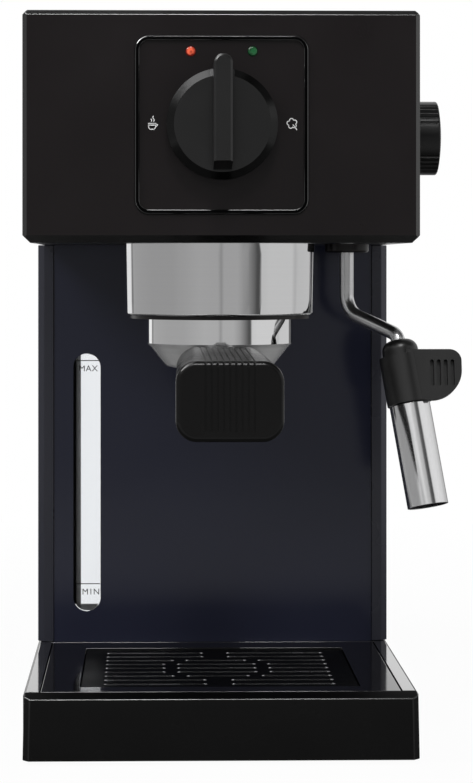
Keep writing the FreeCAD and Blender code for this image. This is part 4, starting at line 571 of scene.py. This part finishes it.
# Head. A satin black box with glossier chamfered edges and a separate lid plate; it overhangs the
# bay and hides the boiler, the switch and the steam valve.
chamfer_gloss = moulded("chamfer_gloss", (0.0022, 0.0021, 0.0021), (0.0030, 0.0029, 0.0029), (0.18, 0.25),
                        grain=2200.0, depth=0.03, specular=0.9)
dress(satin_black, "head_housing", "head_top_cover")
soft_edges(0.0004, "head_housing", "head_top_cover")
chamfer_front, chamfer_side = -0.85, -0.5
for name in ("head_housing", "head_top_cover"):
    pick_out(name, chamfer_gloss, lambda face: chamfer_front < face.normal.y < chamfer_side)
    shiny_edges(name, chamfer_gloss)

# Control panel. A black plate let into the head's face, with a raised frame whose slopes are glossy.
# Two faceted plastic lamp lenses are pressed in above the knob, and a small white sign is printed on
# each side of it. A lamp board and the selector's switch sit behind the plate.
dress(satin_black, "control_panel")
soft_edges(0.0002, "control_panel")
frame_gloss = moulded("frame_gloss", (0.0024, 0.0024, 0.0025), (0.0034, 0.0034, 0.0035), (0.05, 0.08),
                      grain=1500.0, depth=0.01, specular=0.8, coat=1.0)
panel_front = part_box("control_panel")[0].y
frame_depth = 0.00115
frame_flat = -0.92


def on_frame(face):
    """True for the faces of the raised frame."""
    return face.center.y < panel_front + frame_depth


pick_out("control_panel", frame_gloss, lambda face: on_frame(face) and face.normal.y > frame_flat)
pick_out("control_panel", grille_black, lambda face: on_frame(face) and face.normal.y <= frame_flat)

# Lens facets: small moulded cells that glow brighter towards the tip of a lens; on an unlit lens the glow is
# painted glints.
lens_facets, facets_in, facets_out = group(
    "lens_facets", [("Tip X", 0.0), ("Tip Y", 0.0), ("Tip Z", 0.0)], ["Height", "Shine"])
facets_place = lens_facets.nodes.new("ShaderNodeTexCoord")
lens_tip = lens_facets.nodes.new("ShaderNodeCombineXYZ")
for axis in "XYZ":
    wire(lens_facets, facets_in, "Tip " + axis, lens_tip, axis)
from_tip = lens_facets.nodes.new("ShaderNodeVectorMath")
from_tip.operation = "DISTANCE"
wire(lens_facets, facets_place, "Object", from_tip, 0)
wire(lens_facets, lens_tip, 0, from_tip, 1)
inward = put(lens_facets, "ShaderNodeMapRange", From_Min=0.0019, From_Max=0.0007)
wire(lens_facets, from_tip, "Value", inward, "Value")
cells = put(lens_facets, "ShaderNodeTexVoronoi", Scale=650.0)
wire(lens_facets, facets_place, "Object", cells, "Vector")
contrast = maths(lens_facets, "MULTIPLY", cells.outputs["Distance"], 3.0)
sparkle = maths(lens_facets, "SUBTRACT", contrast, 0.95)
shine = maths(lens_facets, "MULTIPLY", inward.outputs["Result"], sparkle)
lens_facets.links.new(shine, facets_out.inputs["Shine"])
wire(lens_facets, cells, "Distance", facets_out, "Height")


def lens(name, node, rim, middle, light):
    """A faceted lamp lens, darker towards its rim, that glows brighter towards its tip; on an unlit lens the
    glow is painted glints.
    """
    made, tree, shader = surface(name)
    low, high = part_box(node)
    facets = tree.nodes.new("ShaderNodeGroup")
    facets.node_tree = lens_facets
    facets.inputs["Tip X"].default_value = (low.x + high.x) / 2
    facets.inputs["Tip Y"].default_value = low.y
    facets.inputs["Tip Z"].default_value = (low.z + high.z) / 2
    tinted(tree, rim, middle, facets.outputs["Shine"], shader.inputs["Emission Color"])
    shader.inputs["Base Color"].default_value = (*rim, 1.0)
    shader.inputs["Emission Strength"].default_value = light
    shader.inputs["Roughness"].default_value = 0.15
    relief(tree, facets.outputs["Height"], shader, strength=0.3, distance=0.0003)
    return made


red_lens = lens("red_lens", "red_lamp",
                rim=(0.09, 0.005, 0.003), middle=(1.0, 0.16, 0.07), light=0.8)
dress(red_lens, "red_lamp")
# The green lamp is unlit: its weak glow is painted glints on the lens facets.
green_lens = lens("green_lens", "green_lamp",
                  rim=(0.003, 0.035, 0.010), middle=(0.040, 0.30, 0.10), light=0.22)
dress(green_lens, "green_lamp")
board_green = moulded("board_green", (0.010, 0.060, 0.025), (0.015, 0.085, 0.035), (0.40, 0.55))
dress(board_green, "lamp_board")
switch_black = moulded("switch_black", (0.010, 0.010, 0.010), (0.016, 0.016, 0.016), (0.45, 0.6))
dress(switch_black, "selector_switch")

# Printed signs: a steaming cup on the left of the knob and a puff of steam on the right, drawn with
# one pen width. Their points are in millimetres from each sign's own middle.
sign_white = moulded("sign_white", (0.70, 0.70, 0.70), (0.80, 0.80, 0.80), (0.45, 0.6),
                     grain=1500.0, depth=0.02)
millimetre = 0.001
plate_depth = 0.0012
sign_face = panel_front + plate_depth
sign_pen, sign_depth = 0.00036, 0.00008
sign_lift, cup_left, puff_right = 0.0006, 0.0280, 0.0286
knob_low, knob_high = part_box("selector_knob")
knob_radius = (knob_high.x - knob_low.x) / 2
knob_axis_x, knob_axis_z = (knob_low.x + knob_high.x) / 2, knob_low.z + knob_radius
sign_z = knob_axis_z + sign_lift


def stroke(points, middle_x):
    """Outlines of a pen line through a sign's points, mitred where it turns."""
    line = [(middle_x + millimetre * x, sign_z + millimetre * z) for x, z in points]
    closed = line[0] == line[-1]
    sides = []
    for index, point in enumerate(line):
        before = line[index - 1] if index else (line[-2] if closed else point)
        after = line[index + 1] if index + 1 < len(line) else (line[1] if closed else point)
        along = Vector((after[0] - before[0], after[1] - before[1])).normalized() * sign_pen / 2
        sides.append([(point[0] - side * along.y, sign_face, point[1] + side * along.x) for side in (-1, 1)])
    return [[first[0], first[1], second[1], second[0]] for first, second in zip(sides, sides[1:])]


def sign(name, middle_x, lines):
    """One printed sign made of pen lines."""
    outlines = [outline for points in lines for outline in stroke(points, middle_x)]
    flat_piece(name, outlines, sign_depth, sign_white, "machine")


def arc(x, z, radius, start, end, steps=10):
    """(x, z) points on an arc, in degrees."""
    angles = [math.radians(start + (end - start) * i / steps) for i in range(steps + 1)]
    return [(x + radius * math.cos(angle), z + radius * math.sin(angle)) for angle in angles]


curl_sway, curl_wave, curl_foot = 0.3, 0.9, 0.8


def curl(x, rise_step, steps):
    """A wavy line of steam over the cup."""
    return [(x + curl_sway * math.sin(curl_wave * i), curl_foot + rise_step * i) for i in range(steps)]


cup = [(-1.9, 0.0), (1.3, 0.0), (1.0, -1.9), (0.5, -2.4), (-1.1, -2.4), (-1.6, -1.9), (-1.9, 0.0)]
brim = [(-1.5, -0.7), (0.9, -0.7)]
cup_ear = [(1.4, -0.3), (2.1, -0.5), (1.3, -1.4)]
left_curl, right_curl = curl(-0.7, rise_step=0.26, steps=5), curl(0.3, rise_step=0.32, steps=8)
sign("cup_sign", knob_axis_x - cup_left, [cup, brim, cup_ear, left_curl, right_curl])

lobes, first_lobe, lobe_out, lobe_radius, lobe_half = 5, 100, 1.22, 0.84, 94
puff = []
for step in range(lobes):
    facing = first_lobe + 360 / lobes * step
    lobe_x, lobe_z = lobe_out * math.cos(math.radians(facing)), lobe_out * math.sin(math.radians(facing))
    puff += arc(lobe_x, lobe_z, lobe_radius, facing - lobe_half, facing + lobe_half)
tail = [(0.3, -0.4), (1.2, -1.4), (2.0, -2.7)]
sign("puff_sign", knob_axis_x + puff_right, [puff + puff[:1], tail])

# Selector. A round knob with a tall pointer fin, pressed on the switch's steel shaft. Its skirt is
# smoother than the face and darker by painted shade, and its edges are polished by fingers.
knob_black = moulded("knob_black", (0.0030, 0.0030, 0.0031), (0.0046, 0.0046, 0.0047), (0.30, 0.38),
                     grain=2200.0, depth=0.06)
knob_skirt_painted_shade = moulded("knob_skirt_painted_shade", (0.0009, 0.0009, 0.0009), (0.0014, 0.0014, 0.0014), (0.17, 0.23),
                   grain=2200.0, depth=0.03, specular=0.22)
dress(knob_black, "selector_knob")
dress(bright_steel, "selector_shaft")
soft_edges(0.0008, "selector_knob")
knob_face_radius, knob_face_flat = 0.0196, -0.93
fin_half = 0.0052


def skirt(face):
    """True for the sloped skirt round the knob's face, without the fin."""
    from_axis = math.hypot(face.center.x - knob_axis_x, face.center.z - knob_axis_z)
    beside_fin = abs(face.center.x - knob_axis_x) > fin_half or face.center.z < knob_axis_z
    return from_axis > knob_face_radius and face.normal.y > knob_face_flat and beside_fin


# The skirt's darker colour is painted shade; its finish is also smoother than the face.
pick_out("selector_knob", knob_skirt_painted_shade, skirt)
shiny_edges("selector_knob", edge_gloss)

# Steam knob and valve. A grooved black knob with a domed end, on the right of the head, is pressed
# on the steel spindle of a brass valve; a steel pipe takes the steam through it to the wand.
fluted_black = moulded("fluted_black", (0.0026, 0.0026, 0.0027), (0.0040, 0.0040, 0.0041), (0.24, 0.32),
                       grain=2200.0, depth=0.06, specular=0.27)
dress(fluted_black, "steam_knob")
dress(brass, "steam_valve_body")
dress(bright_steel, "steam_spindle", "steam_pipe")
soft_edges(0.0003, "steam_knob")

# Steam wand. A bent steel tube swings in a collar under the head; a rubbery black grip with a
# slotted finger tab carries the nozzle, and a steel frothing sleeve pushes over it.
dress(satin_black, "wand_collar")
tube_steel = metal("tube_steel", (0.56, 0.56, 0.565), (0.66, 0.66, 0.665), (0.24, 0.33),
                   lines=1600.0, along=40.0, depth=0.02)
dress(tube_steel, "wand_tube")
sleeve_steel = metal("sleeve_steel", (0.64, 0.64, 0.645), (0.74, 0.74, 0.745), (0.09, 0.15),
                     lines=60.0, along=1800.0, depth=0.02)
dress(sleeve_steel, "froth_sleeve")
grip_black = moulded("grip_black", (0.0034, 0.0034, 0.0034), (0.0052, 0.0052, 0.0052), (0.30, 0.40),
                     grain=2000.0, depth=0.06)
dress(grip_black, "wand_grip", "wand_nozzle")
soft_edges(0.0004, "wand_grip")
soft_edges(0.00015, "froth_sleeve")

# Portafilter. A polished bowl with a duller cone and bayonet ears holds the sprung steel basket; a
# spout hangs under it, and a wide ribbed black handle is pulled on by a threaded stud.
bowl_steel = metal("bowl_steel", (0.81, 0.81, 0.815), (0.85, 0.85, 0.855), (0.03, 0.06),
                   lines=2200.0, along=3.0, depth=0.003)
cone_steel = metal("cone_steel", (0.74, 0.74, 0.74), (0.84, 0.84, 0.84), (0.20, 0.28),
                   lines=1200.0, along=30.0, depth=0.02, metallic=0.6)
dress(bowl_steel, "portafilter_bowl")
cone_facing = -0.25
pick_out("portafilter_bowl", cone_steel, lambda face: face.normal.z < cone_facing)
dress(bright_steel, "filter_basket", "basket_clip", "handle_stud")
handle_black = moulded("handle_black", (0.0018, 0.0017, 0.0017), (0.0028, 0.0027, 0.0027), (0.20, 0.28),
                       grain=2000.0, specular=0.22)
dress(handle_black, "portafilter_handle")
dress(grip_black, "spout")
soft_edges(0.00035, "portafilter_handle")
soft_edges(0.00025, "portafilter_bowl")

# Water tank. A clear box stands behind the tower on the base's shelf; its lid hinges on a pin, and
# its foot valve plugs into a socket.
clear_tank = clear("clear_tank", roughness=(0.012, 0.020), ior=1.2, tint=(0.96, 0.97, 0.98))
dress(clear_tank, "water_tank")
dress(satin_black, "tank_lid", "tank_valve", "tank_socket")
dress(bright_steel, "lid_pin")
soft_edges(0.0003, "tank_lid")
